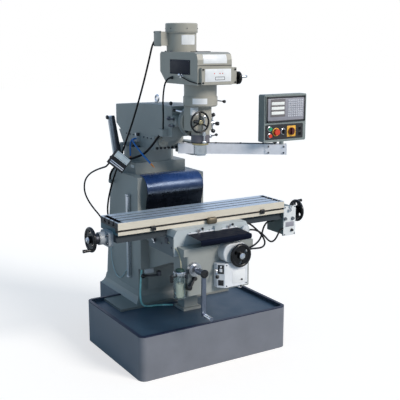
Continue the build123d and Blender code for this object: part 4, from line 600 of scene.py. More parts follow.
def slab(x, y, z, edge=1.0, segments=2, along=None):
    """A block between two limits on each axis, with its edges rounded, or only those along one axis."""
    bm = bmesh.new()
    bmesh.ops.create_cube(bm, size=1)
    bmesh.ops.scale(bm, vec=(x[1] - x[0], y[1] - y[0], z[1] - z[0]), verts=bm.verts)
    bmesh.ops.translate(bm, vec=(sum(x) / 2, sum(y) / 2, sum(z) / 2), verts=bm.verts)
    edges = bm.edges[:]
    if along:
        axis = Vector([float(a == along) for a in "XYZ"])
        edges = [e for e in edges if (e.verts[1].co - e.verts[0].co).normalized().cross(axis).length < 0.01]
    bmesh.ops.bevel(bm, geom=edges, offset=edge, offset_type="OFFSET", segments=segments, profile=0.5,
                    affect="EDGES", material=-1)
    return bm


def drawn(points, step, count, thick):
    """A line of points drawn along a step a number of times, then thickened."""
    bm = bmesh.new()
    verts = [bm.verts.new(point) for point in points]
    loose = [bm.edges.new(pair) for pair in zip(verts, verts[1:])]
    for _ in range(count):
        made = bmesh.ops.extrude_edge_only(bm, edges=loose)["geom"]
        fresh = [g for g in made if isinstance(g, bmesh.types.BMVert)]
        bmesh.ops.translate(bm, vec=step, verts=fresh)
        loose = [g for g in made if isinstance(g, bmesh.types.BMEdge) and all(v in fresh for v in g.verts)]
    bmesh.ops.recalc_face_normals(bm, faces=bm.faces)
    bmesh.ops.solidify(bm, geom=bm.faces[:], thickness=thick)
    return bm


def aim(base, toward):
    """The placement that stands a shape on a point with its Z axis along a direction."""
    return move(base) @ Vector(toward).to_track_quat("Z", "Y").to_matrix().to_4x4()


def lathe(place, toward, profile, steps):
    """A turned shape with the placement that stands it on a point."""
    return turned(profile, steps), aim(place, toward)


def group(*shapes):
    """Several shapes, or (shape, placement) pairs, in one mesh."""
    bm = bmesh.new()
    for item in shapes:
        shape, placement = item if isinstance(item, tuple) else (item, None)
        if placement:
            shape.transform(placement)
        mesh = bpy.data.meshes.new("shape")
        shape.to_mesh(mesh)
        shape.free()
        bm.from_mesh(mesh)
        bpy.data.meshes.remove(mesh)
    return bm


def in_metres(name, bm, finish):
    """A shape in millimetres as a finished object in metres."""
    bm.transform(Matrix.Scale(MM, 4))
    mesh = bpy.data.meshes.new(name)
    bm.to_mesh(mesh)
    bm.free()
    mesh.materials.append(finish)
    return linked(name, mesh)


def piece(name, bm, body, finish):
    """A finished piece that rides on a body."""
    bmesh.ops.recalc_face_normals(bm, faces=bm.faces)
    thing = in_metres(name, bm, finish)
    thing.data.shade_smooth()
    thing.data.set_sharp_from_angle(angle=SHARP_ANGLE)
    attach(thing, body)
    return thing


def spun(name, place, toward, profile, steps, body, finish):
    """A piece of one turned shape."""
    return piece(name, group(lathe(place, toward, profile, steps)), body, finish)


def cap_screw(radius):
    """A socket head screw with its recess."""
    high = radius * 1.1
    return turned([(0, high * 0.45), (radius * 0.5, high * 0.45), (radius * 0.52, high),
                   (radius * 0.88, high), (radius, high * 0.88), (radius, -0.5), (0, -0.5)], 16)


def hex_head(radius):
    """A hexagon bolt head with a washer."""
    wide, thin = radius * 1.35, radius * 0.2
    return group(turned([(0, 0), (wide, 0), (wide, thin), (0, thin)], 20),
                 turned([(0, 0), (radius, 0.1), (radius, radius * 0.85), (radius * 0.86, radius),
                         (0, radius)], 6))


def knob(radius):
    """A ball knob with a short neck, standing on its neck."""
    ball = [(radius * math.cos(a), radius * (1.25 + math.sin(a)))
            for a in [math.radians(-58 + 148 * s / 9) for s in range(9)]]
    return turned([(0, 0), (radius * 0.5, 0), (radius * 0.5, radius * 0.3)] + ball + [(0, radius * 2.25)], 24)


def bar(length, radius, tip=None):
    """A round bar with eased ends, standing on Z, that may taper to another radius at its tip."""
    tip = tip or radius
    return turned([(0, 0), (radius - EASE, 0), (radius, EASE), (tip, length - EASE), (tip - EASE, length),
                   (0, length)], 24)


def screws(name, places, direction, radius, body, finish=dark_steel, shape=cap_screw):
    """One mesh with a screw at each place."""
    return piece(name, group(*[(shape(radius), aim(place, direction)) for place in places]), body, finish)


print("piece tools ready")

# %% [markdown]
# The way cover is a rubber sheet that hangs over the top of the column's ways down to the knee. It is one
# strip, drawn along its side line and drawn out across the machine, then thickened. The front guard is made
# alike, with five low folds, and rides on the saddle.

# %% Rubber way cover and front guard
SHEET_THICKNESS = 4


def rubber_strip(name, line, half, columns, finish):
    """A rubber strip from a side line of (y, z) points, drawn across X and rounded."""
    bm = drawn([(-half, y, z) for y, z in line], (2 * half / columns, 0, 0), columns, SHEET_THICKNESS)
    strip = in_metres(name, bm, finish)
    rounder = strip.modifiers.new("rounder", "SUBSURF")
    rounder.levels = rounder.render_levels = 2
    evaluated = strip.evaluated_get(bpy.context.evaluated_depsgraph_get())
    strip.data = bpy.data.meshes.new_from_object(evaluated)
    strip.modifiers.clear()
    strip.data.shade_smooth()
    return strip


cover = rubber_strip("way_cover_sheet", [
    (262, 1188), (215, 1188), (188, 1185), (164, 1173), (140, 1152), (125, 1122), (119, 1090),
    (125, 1050), (139, 1010), (149, 975), (151, 930), (151, 875), (151, 819)], 225, 8, cover_rubber)
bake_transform(cover)
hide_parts("way_cover")

GUARD_BACK, FOLD_LENGTH = -352, 34
guard_line = [(GUARD_BACK, 890)]
for fold in range(5):
    front = GUARD_BACK - FOLD_LENGTH * (fold + 1)
    high = 891 - 1.6 * fold
    guard_line += [(front + 24, high + 1), (front + 10, high + 0.8), (front + 4, high - 0.4)]
guard_line += [(-524, 880), (-524.5, 866), (-524, 850)]
guard = rubber_strip("front_guard_apron", guard_line, 194, 6, guard_rubber)
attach(guard, "saddle")
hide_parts("front_way_guard")
print("rubber sheets:", [round(d, 3) for d in cover.dimensions], [round(d, 3) for d in guard.dimensions])

# %% [markdown]
# Small fittings come back all over the machine: a plate is a thin slab with eased edges, a lever ends in a
# ball knob, a cable leaves a housing through a tapered gland, and a dial has engraved lines. Each is a
# short function here, and the cells below only say where they go.


# %% Tools for fittings
def plates(body, slot, *rows):
    """Thin slabs, each from (name, x, y, z, finish)."""
    for name, x, y, z, finish in rows:
        thin = min(abs(b - a) for a, b in (x, y, z))
        piece(name, slab(x, y, z, thin * 0.4), body, finish)


def bent_plate(name, line, z, thick):
    """A blank plate on the head that follows a line of (x, y) points round a casting's corner."""
    bm = drawn([(x, y, z[0]) for x, y in line], (0, 0, z[1] - z[0]), 1, thick)
    return piece(name, bm, "head", bare_plate)


def on_circle(centre, radius, degrees):
    """A point on a level circle."""
    angle = math.radians(degrees)
    return centre[0] + radius * math.cos(angle), centre[1] + radius * math.sin(angle)


def arc(centre, radius, start, end, steps=8):
    """Points on a level circle between two angles in degrees."""
    return [on_circle(centre, radius, start + (end - start) * step / steps) for step in range(steps + 1)]


def ball_grip(name, place, toward, radius, body, finish=black_plastic):
    """A ball knob centred on a lever's end."""
    heading = Vector(toward).normalized()
    base = Vector(place) - heading * radius * 1.25
    return piece(name, group((knob(radius), aim(base, heading))), body, finish)


def hand_lever(name, knob_name, root, tip, radii, knob_radius, body, finish,
               knob_finish=black_plastic, hub=()):
    """A tapered bar from its root, where a hub may sit, to the ball knob on its tip."""
    way = Vector(tip) - Vector(root)
    piece(name, group((bar(way.length, *radii), aim(root, way)), *hub), body, finish)
    ball_grip(knob_name, tip, way, knob_radius, body, knob_finish)


def wheel_nut(name, place, toward, body, sink):
    """A hexagon nut that holds a handwheel, with its washer set back by a small distance."""
    washer = Vector(place) - Vector(toward) * sink
    piece(name, group(lathe(place, toward, [(0, 0), (15, 0), (15, 9), (12, 12), (0, 12)], 6),
                      lathe(washer, toward, [(0, 0), (20, 0), (20, 2.5), (0, 2.5)], 28)), body, chrome)


def gland(name, place, toward, body, root, tip, length):
    """A hexagon nut and a tapered sleeve where a cable leaves a housing."""
    nut = [(0, 0), (root, 0), (root, length * 0.28), (root * 0.86, length * 0.34), (0, length * 0.34)]
    sleeve = [(0, 0), (root * 0.8, 0), (root * 0.78, length * 0.4), (tip + 0.8, length * 0.92),
              (tip, length), (0, length)]
    return piece(name, group(lathe(place, toward, nut, 6), lathe(place, toward, sleeve, 20)), body,
                 dull_black)


def dial_lines(name, centre, toward, radius, length, count, body):
    """Engraved lines round the rim of a dial, with every fifth one longer."""
    lines = []
    for mark in range(count):
        reach = length if mark % 5 == 0 else length * 0.6
        tick = slab((radius - 0.3, radius + 0.25), (-0.5, 0.5), (0, reach), 0.1, 1)
        lines.append((tick, aim(centre, toward) @ Matrix.Rotation(math.tau * mark / count, 4, "Z")))
    return piece(name, group(*lines), body, dull_black)


def frame_ring(x, y, z, width):
    """A rectangular frame in the XZ plane, as four slabs."""
    return group(slab((x[0], x[0] + width), y, z), slab((x[1] - width, x[1]), y, z),
                 slab((x[0] + 1, x[1] - 1), y, (z[0], z[0] + width)),
                 slab((x[0] + 1, x[1] - 1), y, (z[1] - width, z[1])))


print("fitting tools ready")

# %% [markdown]
# The motor carries a blank data plate bent round its body, a terminal box with a screwed lid, and screws
# through the rim of its fan cover. The plate follows an arc just outside the motor's radius.

# %% Motor
MOTOR, PLATE_RADIUS = (0, 36), 98.9
bent_plate("motor_data_plate", arc(MOTOR, PLATE_RADIUS, 240, 300), (2066, 2128), 0.8)
screws("motor_plate_rivets",
       [(*point, z) for point in arc(MOTOR, PLATE_RADIUS, 243, 297, 1) for z in (2070, 2124)],
       FRONT, 1.8, "head", chrome)
plates("head", "casting_light",
       ("terminal_box_lid", (-156, -151.5), (32, 130), (2055, 2153), warm_paint))
screws("terminal_lid_screws", product((-156,), (40, 122), (2063, 2145)), LEFT, 3.6, "head")
gland("motor_lead_gland", (-120, 126, 2102), BACK, "head", 12, 7, 30)
cover_ring = turned([(98, 2141), (107.2, 2142), (107.2, 2148), (98, 2149)], 48)
piece("fan_cover_seam", group((cover_ring, move((*MOTOR, 0)))), "head", warm_paint)
for number, angle in enumerate(range(20, 380, 60)):
    place = on_circle(MOTOR, 105.6, angle)
    toward = (place[0] - MOTOR[0], place[1] - MOTOR[1], 0)
    screws(f"fan_cover_screw_{number}", [(*place, 2169)], toward, 3.4, "head")
screws("motor_foot_bolts", [(*point, 2021) for point in arc(MOTOR, 106, 200, 520, 3)], UP, 6, "head",
       shape=hex_head)
print("motor fittings made")

# %% [markdown]
# The belt housing has a dark plate on its left side, a white plate bent over its nose, a second white
# plate on the front panel with an empty speed window, and black screws in the panel's corners. All plates
# are left blank.

# %% Belt housing
plates("head", "casting_light",
       ("belt_side_plate", (-122, -119.6), (-276, -23), (1883, 1974), navy_plate),
       ("speed_panel_plate", (-81, 109), (-390.4, -388.8), (1843, 1921), bare_plate),
       ("nose_seam", (-119, 129), (-366, -364.6), (1939, 1943), dull_black),
       ("belt_top_strip", (-45, 85), (-190, -150), (2020.6, 2025), dull_black))
screws("belt_side_screws", product((-122,), (-267, -32), (1891, 1966)), LEFT, 3.2, "head")
screws("speed_panel_screws", product((-95, 140), (-389,), (1837, 1917)), FRONT, 5.5, "head", dull_black)
lean = move((0, -365.4, 1975)) @ Matrix.Rotation(math.radians(-18.4), 4, "X")
piece("nose_plate", group(slab((-79, 93), (-366.4, -364.6), (1953, 1976), 0.5),
                          (slab((-79, 93), (-0.9, 0.9), (0, 34), 0.5), lean)),
      "head", bare_plate)
piece("speed_window", frame_ring((-8, 62), (-391.2, -390), (1853, 1873), 2.5), "head", navy_plate)
dome = [(0, 0), (3.6, 0), (3.4, 1.2), (0, 1.6)]
lights = [lathe((x, -390.2, 1893), FRONT, dome, 16) for x in (-14, 26, 46)]
piece("speed_panel_lights", group(*lights), "head", red_plastic)
gland("head_lead_gland", (-120, -56, 1858), LEFT, "head", 11, 6, 22)
valve = lathe((-120, -180, 1871), LEFT, [(0, 0), (13, 0), (13, 5), (9, 6), (9, 16), (0, 16)], 24)
piece("belt_valve", group(valve, (knob(10), aim((-134, -180, 1871), (-0.7, 0, 0.7)))), "head", chrome)
hang("belt_valve_lead", 7, ["head"], [
    (-128, -186, 1868), (-130, -205, 1863), (-129, -229, 1857), (-128, -265, 1848), (-127, -302, 1841),
    (-122, -345, 1836), (-110, -378, 1833), (-104.5, -380, 1833)])
print("belt housing fittings made")

# %% [markdown]
# Below it, the gear housing and the quill housing carry two blank plates bent round their left corners, the
# depth stop rod with its nut, a brass ring under the barrel, and the clamp lever of the swivel. The quill's
# capstan, its feed wheel and the speed wheel get their knobs and caps.

# %% Gear and quill housings
SPINDLE, STOP = (0, -201), (-14, -273)
CAPSTAN_Y, CAPSTAN_Z, CAPSTAN_REACH = -147, 1561, 52
bent_plate("gear_plate", arc(SPINDLE, 110.7, 212, 262, 12), (1700, 1736), 0.9)
bent_plate("quill_plate", arc((-74, -226), 18.7, 195, 270) + [(-34, -244.7)], (1629, 1677), 0.9)
piece("depth_stop", group((bar(166, 5), move((*STOP, 1453))),
                          (turned([(5.2, 0), (12, 0), (12, 13), (5.2, 13)], 28), move((*STOP, 1499))),
                          (turned([(5.2, 0), (12, 0), (12, 6), (5.2, 6)], 28), move((*STOP, 1514))),
                          slab((-26, -2), (-284, -260), (1611, 1627), 3),
                          slab((-26, -2), (-284, -258), (1449, 1463), 3)), "head", chrome)
barrel = turned([(44.2, 1433), (52, 1433), (54, 1435), (54, 1446.5), (44.2, 1446.5)], 48)
piece("barrel_ring", group((barrel, move((*SPINDLE, 0)))), "head", brass)
screws("swivel_bolts", [(x, -136, z) for x, z in ((-66, 1517), (66, 1517), (-32, 1495), (32, 1495))],
       FRONT, 8, "head", shape=hex_head)
hand_lever("swivel_lever", "swivel_lever_knob", (-90, -122, 1641), (-128, -84, 1652), (7, 5), 11,
           "head", chrome)
for number in range(4):
    across, along = on_circle((0, 0), 1, 90 * number)
    spun(f"capstan_knob_{number}",
         (130.3, CAPSTAN_Y + CAPSTAN_REACH * across, CAPSTAN_Z + CAPSTAN_REACH * along),
         (0.8, 0.35 * across, 0.35 * along),
         [(0, -13), (8, -13), (12.5, -5), (13, 6), (11, 12), (6, 14.5), (0, 15)], 24,
         "capstan", black_plastic)
spun("capstan_cap", (128, CAPSTAN_Y, CAPSTAN_Z), RIGHT, [(0, 0), (15, 0), (15, 4), (11, 7), (0, 7)], 28,
     "capstan", chrome)
ball_grip("quill_lock_knob", (86, -259, 1497), (0.5, -0.86, 0.2), 9.5, "quill_lock")
ball_grip("hi_lo_knob", (150, -252, 1707), (0.6, -0.78, -0.1), 11, "hi_lo")
spun("fine_feed_cap", (-66, -315, 1589), FRONT,
     [(0, 0), (14, 0), (14, 3), (10, 5), (6, 11), (0, 11)], 28, "fine_feed", brass)
spun("speed_wheel_cap", (175, -377, 1863), RIGHT,
     [(0, 0), (17, 0), (17, 4), (10, 9), (0, 9)], 28, "speed_wheel", chrome)
spun("speed_wheel_grip", (176, -403, 1871), RIGHT,
     [(0, 0), (5.6, 0), (8, 6), (8.6, 30), (7.6, 40), (4, 43), (0, 43)], 20, "speed_wheel", aluminium)
print("head fittings made")

# %% [markdown]
# The ram's nose has the tilt worm's shaft and a clamp knob, and its back has a cover with four screws. The
# turret is held down by bolts round its flange and has a round boss on its front.

# %% Ram and turret
TURRET, GIB_PITCH = (0, 525), 55
worm = [(0, 0), (9, 0), (14, 10), (14, 22), (9, 26), (9, 84), (0, 84)]
shaft = [(0, 0), (7, 0), (8, 4), (8, 60), (5, 66), (0, 66)]
piece("nod_worm_shaft", group(lathe((-122, 14, 1591), FRONT, worm, 6),
                              lathe((-122, -6, 1545), FRONT, shaft, 20)), "ram", dark_steel)
piece("nod_worm_bearing", group(slab((-127, -114.5), (-62, -34), (1575, 1607), 3),
                                slab((-127, -114.5), (-56, -36), (1533, 1557), 3)),
      "ram", grey_paint)
ball_grip("ram_clamp_knob", (-100, 6, 1689), UP, 12, "ram")
piece("ram_clamp_stem", group((bar(12, 6), aim((-100, 6, 1670.5), UP))), "ram", chrome)
screws("ram_cover_screws", product((-80, 80), (842,), (1516, 1599)), BACK, 6, "ram")
spun("ram_back_boss", (-60, 841.5, 1554), BACK, [(0, 0), (20, 0), (20, 10), (16, 14), (0, 14)], 28,
     "ram", dull_black)
spun("turret_boss", (-50, 215.2, 1407), FRONT,
     [(0, 0), (38, 0), (38, 8), (33, 13), (14, 13), (12, 18), (0, 18)], 40,
     "turret", warm_paint)
screws("turret_front_bolts", product(range(-96, 60, 30), (215.2,), (1365,)), FRONT, 9, "turret", dull_black)
screws("turret_flange_bolts", [(*on_circle(TURRET, 160, angle), 1352.3)
                               for angle in (150, 166, 200, 216, 30, 14, -20, -36)],
       UP, 11, "turret", dull_black, hex_head)
screws("bed_gib_screws", [(-115, y, 1429) for y in range(260, 700, GIB_PITCH) if abs(y - 458) > 34],
       LEFT, 5, "turret")
screws("bed_gib_screws_right", product((115,), range(370, 700, GIB_PITCH), (1429,)), RIGHT, 5, "turret")
spun("coolant_valve_knob", (-126, 446, 1428), UP,
     [(0, 0), (7, 0), (7, 8), (12, 10), (12, 20), (8, 24), (0, 24)], 20, "turret", dull_black)
cock = lathe((-126, 472, 1428), UP, [(0, 0), (9, 0), (9, 10), (6, 12), (6, 22), (0, 22)], 20)
piece("coolant_valve_cock", group(cock, (bar(34, 3.5), aim((-126, 486, 1445), FRONT))), "turret", chrome)
print("ram and turret fittings made")

# %% [markdown]
# On the column's left side hang a height scale, a blank plate and a loop of clear return tube. On the knee
# are the lubricator jar, which is glass with oil in it, its thin supply tube, a clamp lever and the drain
# block. The elevating crank and the cross screw get their dial lines, caps and nuts.

# %% Column and knee
piece("height_scale", group(slab((-291, -266), (299, 327), (450, 1034), 2),
                            slab((-293, -265), (296, 330), (1030, 1046), 3),
                            slab((-293, -265), (296, 330), (444, 456), 3)), "base", aluminium)
plates("base", "casting_grey", ("column_plate", (-201.6, -199.6), (362, 412), (1215, 1236), bare_plate))
hang("return_tube", 6, ["base"], [
    (-272, 633, 720), (-274, 629, 645), (-276, 615, 560), (-276, 603, 481), (-275, 560, 415),
    (-275, 504, 392), (-275, 455, 402), (-275, 418, 430), (-275, 380, 470), (-274, 345, 500)],
    finish=clear_tube)
piece("drain_block", group(slab((-268, -204), (78, 104), (527, 560), 4),
                           slab((-292, -278), (98, 112), (556, 572), 2)), "knee", pale_cast)
hand_lever("knee_clamp_bar", "knee_clamp_knob", (-165, 80, 504), (-285, 84, 514), (8, 6), 16,
           "knee", dark_steel, hub=[slab((-178, -150), (66, 96), (500, 534), 4)])

JAR = move((-282, -417, 0))
outline = [(0, 504), (36, 504), (39.5, 507), (40, 512), (40, 650), (38, 660), (34, 664), (32, 664), (36, 657),
           (37.4, 648), (37.4, 513), (36, 509), (0, 508)]
jar = piece("lube_jar_glass", group((turned(outline, 40), JAR)), "knee", jar_glass)
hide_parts("lube_jar")
filling = turned([(0, 511), (23, 511), (24, 514), (24, 598), (22, 601), (0, 601)], 40)
piece("lube_jar_oil", group((filling, JAR)), "knee", oil)
strainer = turned([(0, 0), (11, 0), (11, 16), (0, 18)], 24)
piece("lube_jar_pipe", group((bar(136, 5), move((-278, -413, 520))), (strainer, move((-278, -413, 512)))),
      "knee", bright_steel)
lid = turned([(0, 656), (33, 656), (33, 661), (41, 662), (42.4, 664), (42.4, 678), (40, 681), (0, 681)], 44)
outlet = turned([(0, 680), (12, 680), (12, 690), (0, 690)], 6)
piece("lube_jar_head", group((lid, JAR), (outlet, move((-264, -400, 0)))), "knee", bright_steel)
piece("lube_jar_strap", group(slab((-284, -238.2), (-433, -401), (637, 660), 3),
                              slab((-252, -238.2), (-440, -394), (628, 668), 3)), "knee", dark_steel)
cap = turned([(0, 680), (26, 680), (28, 683), (28, 690), (24, 694), (0, 694)], 12)
piece("lube_jar_cap", group((cap, JAR)), "knee", cap_green)
grip = [(0, 0), (9, 1), (12, 8), (11, 30), (12, 44), (8, 50), (0, 51)]
piece("lube_pump_handle", group((bar(58, 5), aim((-300, -422, 652), (-1, -0.2, -0.02))),
                                lathe((-349, -431, 620), UP, grip, 20)),
      "knee", black_plastic)
hang("lube_tube", 6, ["knee", "saddle"], [
    (-264, -400, 688), (-263, -398, 710), (-263, -392, 745), (-266, -378, 785), (-276, -350, 815),
    (-289, -315, 836), (-294, -285, 842), (-294, -268, 843)], finish=tube_plastic)

CRANK_X, CRANK_Z = -195, 688
CROSS_X, CROSS_Z = 101, 753
dial_lines("knee_dial_lines", (CRANK_X, -461.6, CRANK_Z), BACK, 45, 12, 60, "knee_crank")
spun("crank_cap", (CRANK_X, -566, CRANK_Z), FRONT,
     [(0, 0), (27, 0), (27, 8), (22, 13), (12, 14), (10, 11), (0, 11)], 32,
     "knee_crank", black_plastic)
spun("crank_grip", (CRANK_X, -578, 420), FRONT,
     [(10.5, 0), (12.5, 2), (13.4, 8), (12.6, 40), (14.2, 66), (13.6, 72), (12.6, 74)], 32,
     "knee_crank", chrome)
ball_grip("knee_lock_knob", (-238, -459, 576), (-0.62, -0.32, -0.7), 19.5, "knee_lock")
ball_grip("y_feed_lever_knob", (-55, -497.5, 627), (-0.5, -0.7, 0.3), 12.5, "y_feed_lever")
dial_lines("cross_dial_lines", (CROSS_X, -511.5, CROSS_Z), BACK, 36, 10, 50, "y_screw")
wheel_nut("cross_wheel_nut", (CROSS_X, -548, CROSS_Z), FRONT, "y_screw", -0.2)
print("column and knee fittings made")

# %% [markdown]
# The saddle's left side has the lubricant manifold with its small lever. The table carries adjustable stop
# dogs in its front groove, and its screw ends in nuts that hold the handwheels, next to their dials.

# %% Saddle and table
SCREW_Y, SCREW_Z = -150, 889
nipples = [lathe((-294, y, 858), UP, [(0, 0), (6, 0), (6, 8), (0, 9)], 6) for y in (-282, -270, -258)]
piece("lube_manifold", group(slab((-300, -288), (-290, -250), (828, 858), 2),
                             slab((-298, -288), (-120, -80), (806, 862), 2), *nipples), "saddle", dark_steel)
valve_hub = lathe((-297, -100, 820), LEFT, [(0, 0), (12, 0), (12, 8), (9, 11), (0, 11)], 28)
hand_lever("saddle_valve_lever", "saddle_valve_knob", (-298, -100, 820), (-318, -150, 812), (5, 4), 9,
           "saddle", chrome, chrome, [valve_hub])
for side, y in (("front", -330), ("middle", -200), ("rear", -70)):
    screws(f"saddle_gib_screw_{side}", [(-288.5, y, 812)], LEFT, 6.5, "saddle", shape=hex_head)
plates("saddle", "saddle_paint",
       ("saddle_centre_block", (-6, 66), (-312, -281), (921.4, 966), worn_bronze),
       ("guard_clamp_strip", (-186, 188), (-363, -349), (890, 898), white_enamel))
spun("saddle_cable_boss", (238, -369.5, 874), FRONT,
     [(0, 0), (26, 0), (26, 12), (22, 16), (9, 16), (8, 20), (0, 20)], 36,
     "saddle", pale_cast)
screws("guard_clamp_screws", product(range(-170, 180, 48), (-356,), (898,)), UP, 3.2, "saddle")
for side, x in (("left", -112), ("right", 118)):
    ball_grip(f"table_lock_knob_{side}", (x + 26, -370, 918), (0.8, -0.6, 0.4), 8.8, f"table_lock_{side}")
dogs = ((-393, 943), (446, 951))
blocks = [slab((x - 16, x + 16), (-291, -276.5), (z - 15, z + 15), 2) for x, z in dogs]
dog_screws = [(cap_screw(7), aim((x, -291, z), FRONT)) for x, z in dogs]
piece("table_stop_dogs", group(*blocks, *dog_screws), "table", dull_black)
for side, x, way in (("left", -780, LEFT), ("right", 864, RIGHT)):
    wheel_nut(f"{side}_wheel_nut", (x, SCREW_Y, SCREW_Z), way, "x_screw", 0.3)
screws("left_bracket_bolts", product((-667,), (-196, -104), (862, 912)), LEFT, 8, "table")
for side, x, way in (("left", -712.6, RIGHT), ("right", 787.6, LEFT)):
    dial_lines(f"{side}_dial_lines", (x, SCREW_Y, SCREW_Z), way, 40, 12, 60, "table")
print("saddle and table fittings made")

# %% [markdown]
# Both feed units have white fronts with blank panels. The cross feed's box has a slanted corner with a dark
# switch plate and a white rocker. The table's feed unit has two grey knobs and a black one on its front.

# %% Feed units
FEED_FACE = -277
slant = move((-23, -490, 0)) @ Matrix.Rotation(math.radians(-45), 4, "Z")
piece("cross_feed_switch_plate", group((slab((-20, 20), (-1.6, 0.8), (640, 698), 1), slant),
                                       (slab((-18, 18), (-1.6, 0.8), (562, 598), 1), slant)),
      "knee", dull_black)
button = turned([(0, 0), (6, 0), (6, 4), (4, 6), (0, 6)], 20)
piece("cross_feed_rocker", group((slab((-9, 9), (-7, 0), (652, 674), 2.5), slant),
                                 (button, slant @ aim((0, -1.6, 686), FRONT))),
      "knee", white_enamel)
screws("cross_feed_screws", product((8, 160), (-508,), (558, 695)), FRONT, 4, "knee")
plates("knee", "white_plastic", ("cross_feed_plate", (52, 150), (-509.6, -507.6), (566, 650), bare_plate))
screws("cross_feed_stud", [(123, -509.4, 587)], FRONT, 6, "knee", dull_black)
gland("cross_feed_gland", (135, -480, 548.5), (0, 0, -1), "knee", 11, 6, 24)
for name, x, z, radius, finish in (("feed_speed_knob", 647, 875, 13, dull_grey_knob),
                                   ("feed_mode_knob", 712, 872, 13, dull_grey_knob),
                                   ("feed_rapid_knob", 706, 789, 11, black_plastic)):
    rim = [(0, 0), (radius, 0), (radius, 3), (radius * 0.8, 5), (radius * 0.74, 14), (0, 15)]
    pointer = slab((-1.2, 1.2), (0, radius * 0.7), (14, 16), 0.4)
    place = (x, FEED_FACE, z)
    piece(name, group(lathe(place, FRONT, rim, 28), (pointer, aim(place, FRONT))), "table", finish)
screws("feed_panel_screws", product((643, 730), (FEED_FACE,), (761, 955)), FRONT, 4, "table")
plates("table", "white_plastic", ("feed_panel_plate", (652, 724), (-278.2, -276.6), (815, 850), panel_grey))
ball_grip("x_feed_lever_knob", (695, -299, 980), (0.3, -0.4, 0.86), 10.5, "x_feed_lever")
print("feed unit fittings made")

# %% [markdown]
# The console is a readout above a switch panel. The readout has a dark bezel, a lavender-grey face, a screen
# with three blank number windows and a keypad. The panel below is black, and each control sits in a collar.

# %% Console
FACE = -258
piece("readout_bezel", frame_ring((483, 813), (FACE - 3, FACE + 0.4), (1550, 1724), 12), "console",
      dull_black)
plates("console", "console_grey",
       ("readout_face", (490, 806), (FACE - 1.2, FACE + 0.4), (1558, 1716), panel_grey),
       ("readout_screen", (516, 640), (FACE - 2.4, FACE), (1587, 1707), display_dark),
       ("switch_plate", (664, 738), (-253.4, -252.3), (1447, 1521), yellow_plastic))
piece("switch_panel", slab((479, 802), (-252.9, -251.7), (1433, 1535), 9, 4, "Y"), "console", dull_black)
windows = [slab((524, 632), (FACE - 3.4, FACE - 1), (z, z + 20), 1) for z in (1603, 1635, 1667)]
piece("readout_windows", group(*windows), "console", display_white)
keys = [slab((x, x + 13), (FACE - 4, FACE - 0.5), (z, z + 12), 1.5)
        for x in range(664, 790, 16) for z in range(1583, 1697, 15)]
piece("readout_keys", group(*keys), "console", key_plastic)
for name, x, z, radius, finish in (("start", 517, 1507, 17.5, chrome), ("stop", 517, 1461, 17.5, chrome),
                                   ("emergency", 570, 1484, 29, yellow_plastic),
                                   ("selector", 632, 1484, 21, chrome)):
    hole = radius * 0.8
    ring = turned([(hole, 0), (radius, 0), (radius, 1.6), (radius * 0.93, 2.4), (hole, 2.4)], 36)
    bmesh.ops.bridge_loops(ring, edges=[e for e in ring.edges if e.is_boundary])
    piece(f"{name}_collar", group((ring, aim((x, -252.5, z), FRONT))), "console", finish)
for number, z in enumerate((1502, 1466)):
    place = (776, -252.4, z)
    base = lathe(place, FRONT, [(0, 0), (13, 0), (13, 3), (10, 4), (9, 12), (0, 13)], 28)
    handle = slab((-3, 3), (-11, 11), (4, 17), 1.5)
    piece(f"small_switch_{number}", group(base, (handle, aim(place, FRONT))), "console", dull_black)
screws("console_back_screws", product((486, 810), (-186,), (1433, 1721)), BACK, 4.5, "console")
vents = [slab((x, x + 60), (-187.5, -185), (z, z + 5), 1) for x in (560, 676) for z in range(1631, 1701, 12)]
piece("console_back_louvres", group(*vents), "console", dull_black)
piece("console_back_cover", frame_ring((496, 800), (-187.6, -185.6), (1447, 1711), 5), "console",
      console_paint)
print("console fittings made")

# %% [markdown]
# The arm ends in a block that clamps the console's post, with a black knob on top. A thin lead runs along
# the arm to the console. The machine lamp has a white diffuser, a ribbed grille and two bars on its face;
# these are drawn in the lamp's own frame, which leans as the lamp's head does.

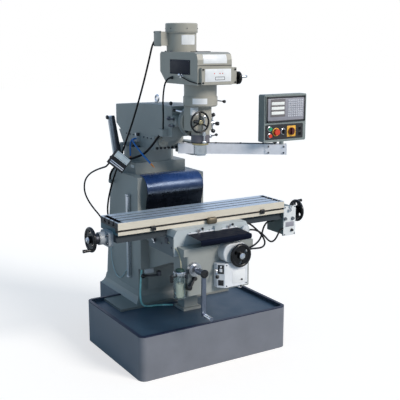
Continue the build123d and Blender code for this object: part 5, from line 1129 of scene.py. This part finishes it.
# %% Arm and lamp
ARM = move((160, 103, 0)) @ Matrix.Rotation(math.radians(-35.8), 4, "Z")
piece("arm_end_cap", group((slab((611, 616.5), (-37.5, 37.5), (1326.5, 1397.5), 2), ARM),
                           (slab((-130, -126), (-33.5, 33.5), (1327, 1397), 1.5), ARM)),
      "arm", white_enamel)
wing = turned([(0, 0), (6, 0), (6, 5), (13, 7), (14, 14), (11, 20), (0, 21)], 10)
piece("arm_clamp_knob", group((wing, ARM @ move((536, 0, 1395.5)))), "arm", black_plastic)
for name, y, way in (("arm_clamp_screws", -36.6, FRONT), ("arm_clamp_screws_back", 36.6, BACK)):
    screws(name, [ARM @ Vector(place) for place in product((492, 595), (y,), (1341, 1383))],
           ARM.to_3x3() @ Vector(way), 6, "arm")
hang("arm_lead", 6, ["arm", "console"], [ARM @ Vector(place) for place in (
    (-60, 12, 1399.2), (0, 12, 1399.2), (60, 10, 1399.2), (130, 14, 1399.2), (210, 8, 1399.2),
    (290, 14, 1399.2), (370, 8, 1399.2), (430, 10, 1399.2), (470, 12, 1399.2), (500, 14, 1399.4),
    (520, 15, 1400), (534, 16, 1403), (541, 16, 1409), (543, 16, 1417))])
clips = [(slab((x - 6, x + 6), (-2, 24), (1395.5, 1403.4), 1.5), ARM) for x in (-40, 130, 300, 455)]
piece("arm_lead_clips", group(*clips), "arm", dull_black)

facing, level = Vector((-0.51, -0.836, 0.204)).normalized(), Vector((0.854, -0.521, 0)).normalized()
LAMP = Matrix((level, facing.cross(level), facing)).transposed().to_4x4()
LAMP = move((-320, 355, 1277)) @ LAMP @ Matrix.Rotation(math.radians(-38), 4, "Z")
BAR, LINE, END = (-49, 61), (-47, 59), (-57, 57)
lamp_parts = (
    ("lamp_diffuser", display_white, "white_plastic", [(BAR, (7, 54), (-0.5, 2.4))]),
    ("lamp_bars", bright_steel, "lamp_metal", [(BAR, (y, y + 7), (-0.5, 3)) for y in (-29, -42)]),
    ("lamp_rim_lines", panel_grey, "lamp_metal", [(LINE, (y, y + 2), (2, 2.9)) for y in (13, 46)]),
    ("lamp_end_caps", black_plastic, "lamp_metal",
     [(x, END, (-31, 3.5)) for x in ((-64.5, -51), (61, 64.5))]),
    ("lamp_grille", black_plastic, "lamp_metal",
     [((x, x + 2.4), (-19, 4), (-0.5, 3.2)) for x in range(-48, 60, 5)]),
    ("lamp_back_fins", dull_black, "lamp_metal",
     [((-48, 58), (y, y + 3), (-36, -29.5)) for y in range(-50, 54, 8)]))
for name, finish, slot, boxes in lamp_parts:
    piece(name, group(*[(slab(x, y, z, 0.6), LAMP) for x, y, z in boxes]), "lamp_head", finish)
for name, place, body in (("lamp_elbow_knob", (-282, 601, 1557), "lamp_upper"),
                          ("lamp_neck_knob", (-298, 515, 1279), "lamp_head")):
    spun(name, place, LEFT, [(0, 0), (13, 0), (15, 3), (15, 10), (12, 14), (0, 15)], 12, body,
         black_plastic)
screws("lamp_base_screw", [(-258, 505, 1311)], LEFT, 7, "lamp_lower", shape=hex_head)
print("arm and lamp fittings made")
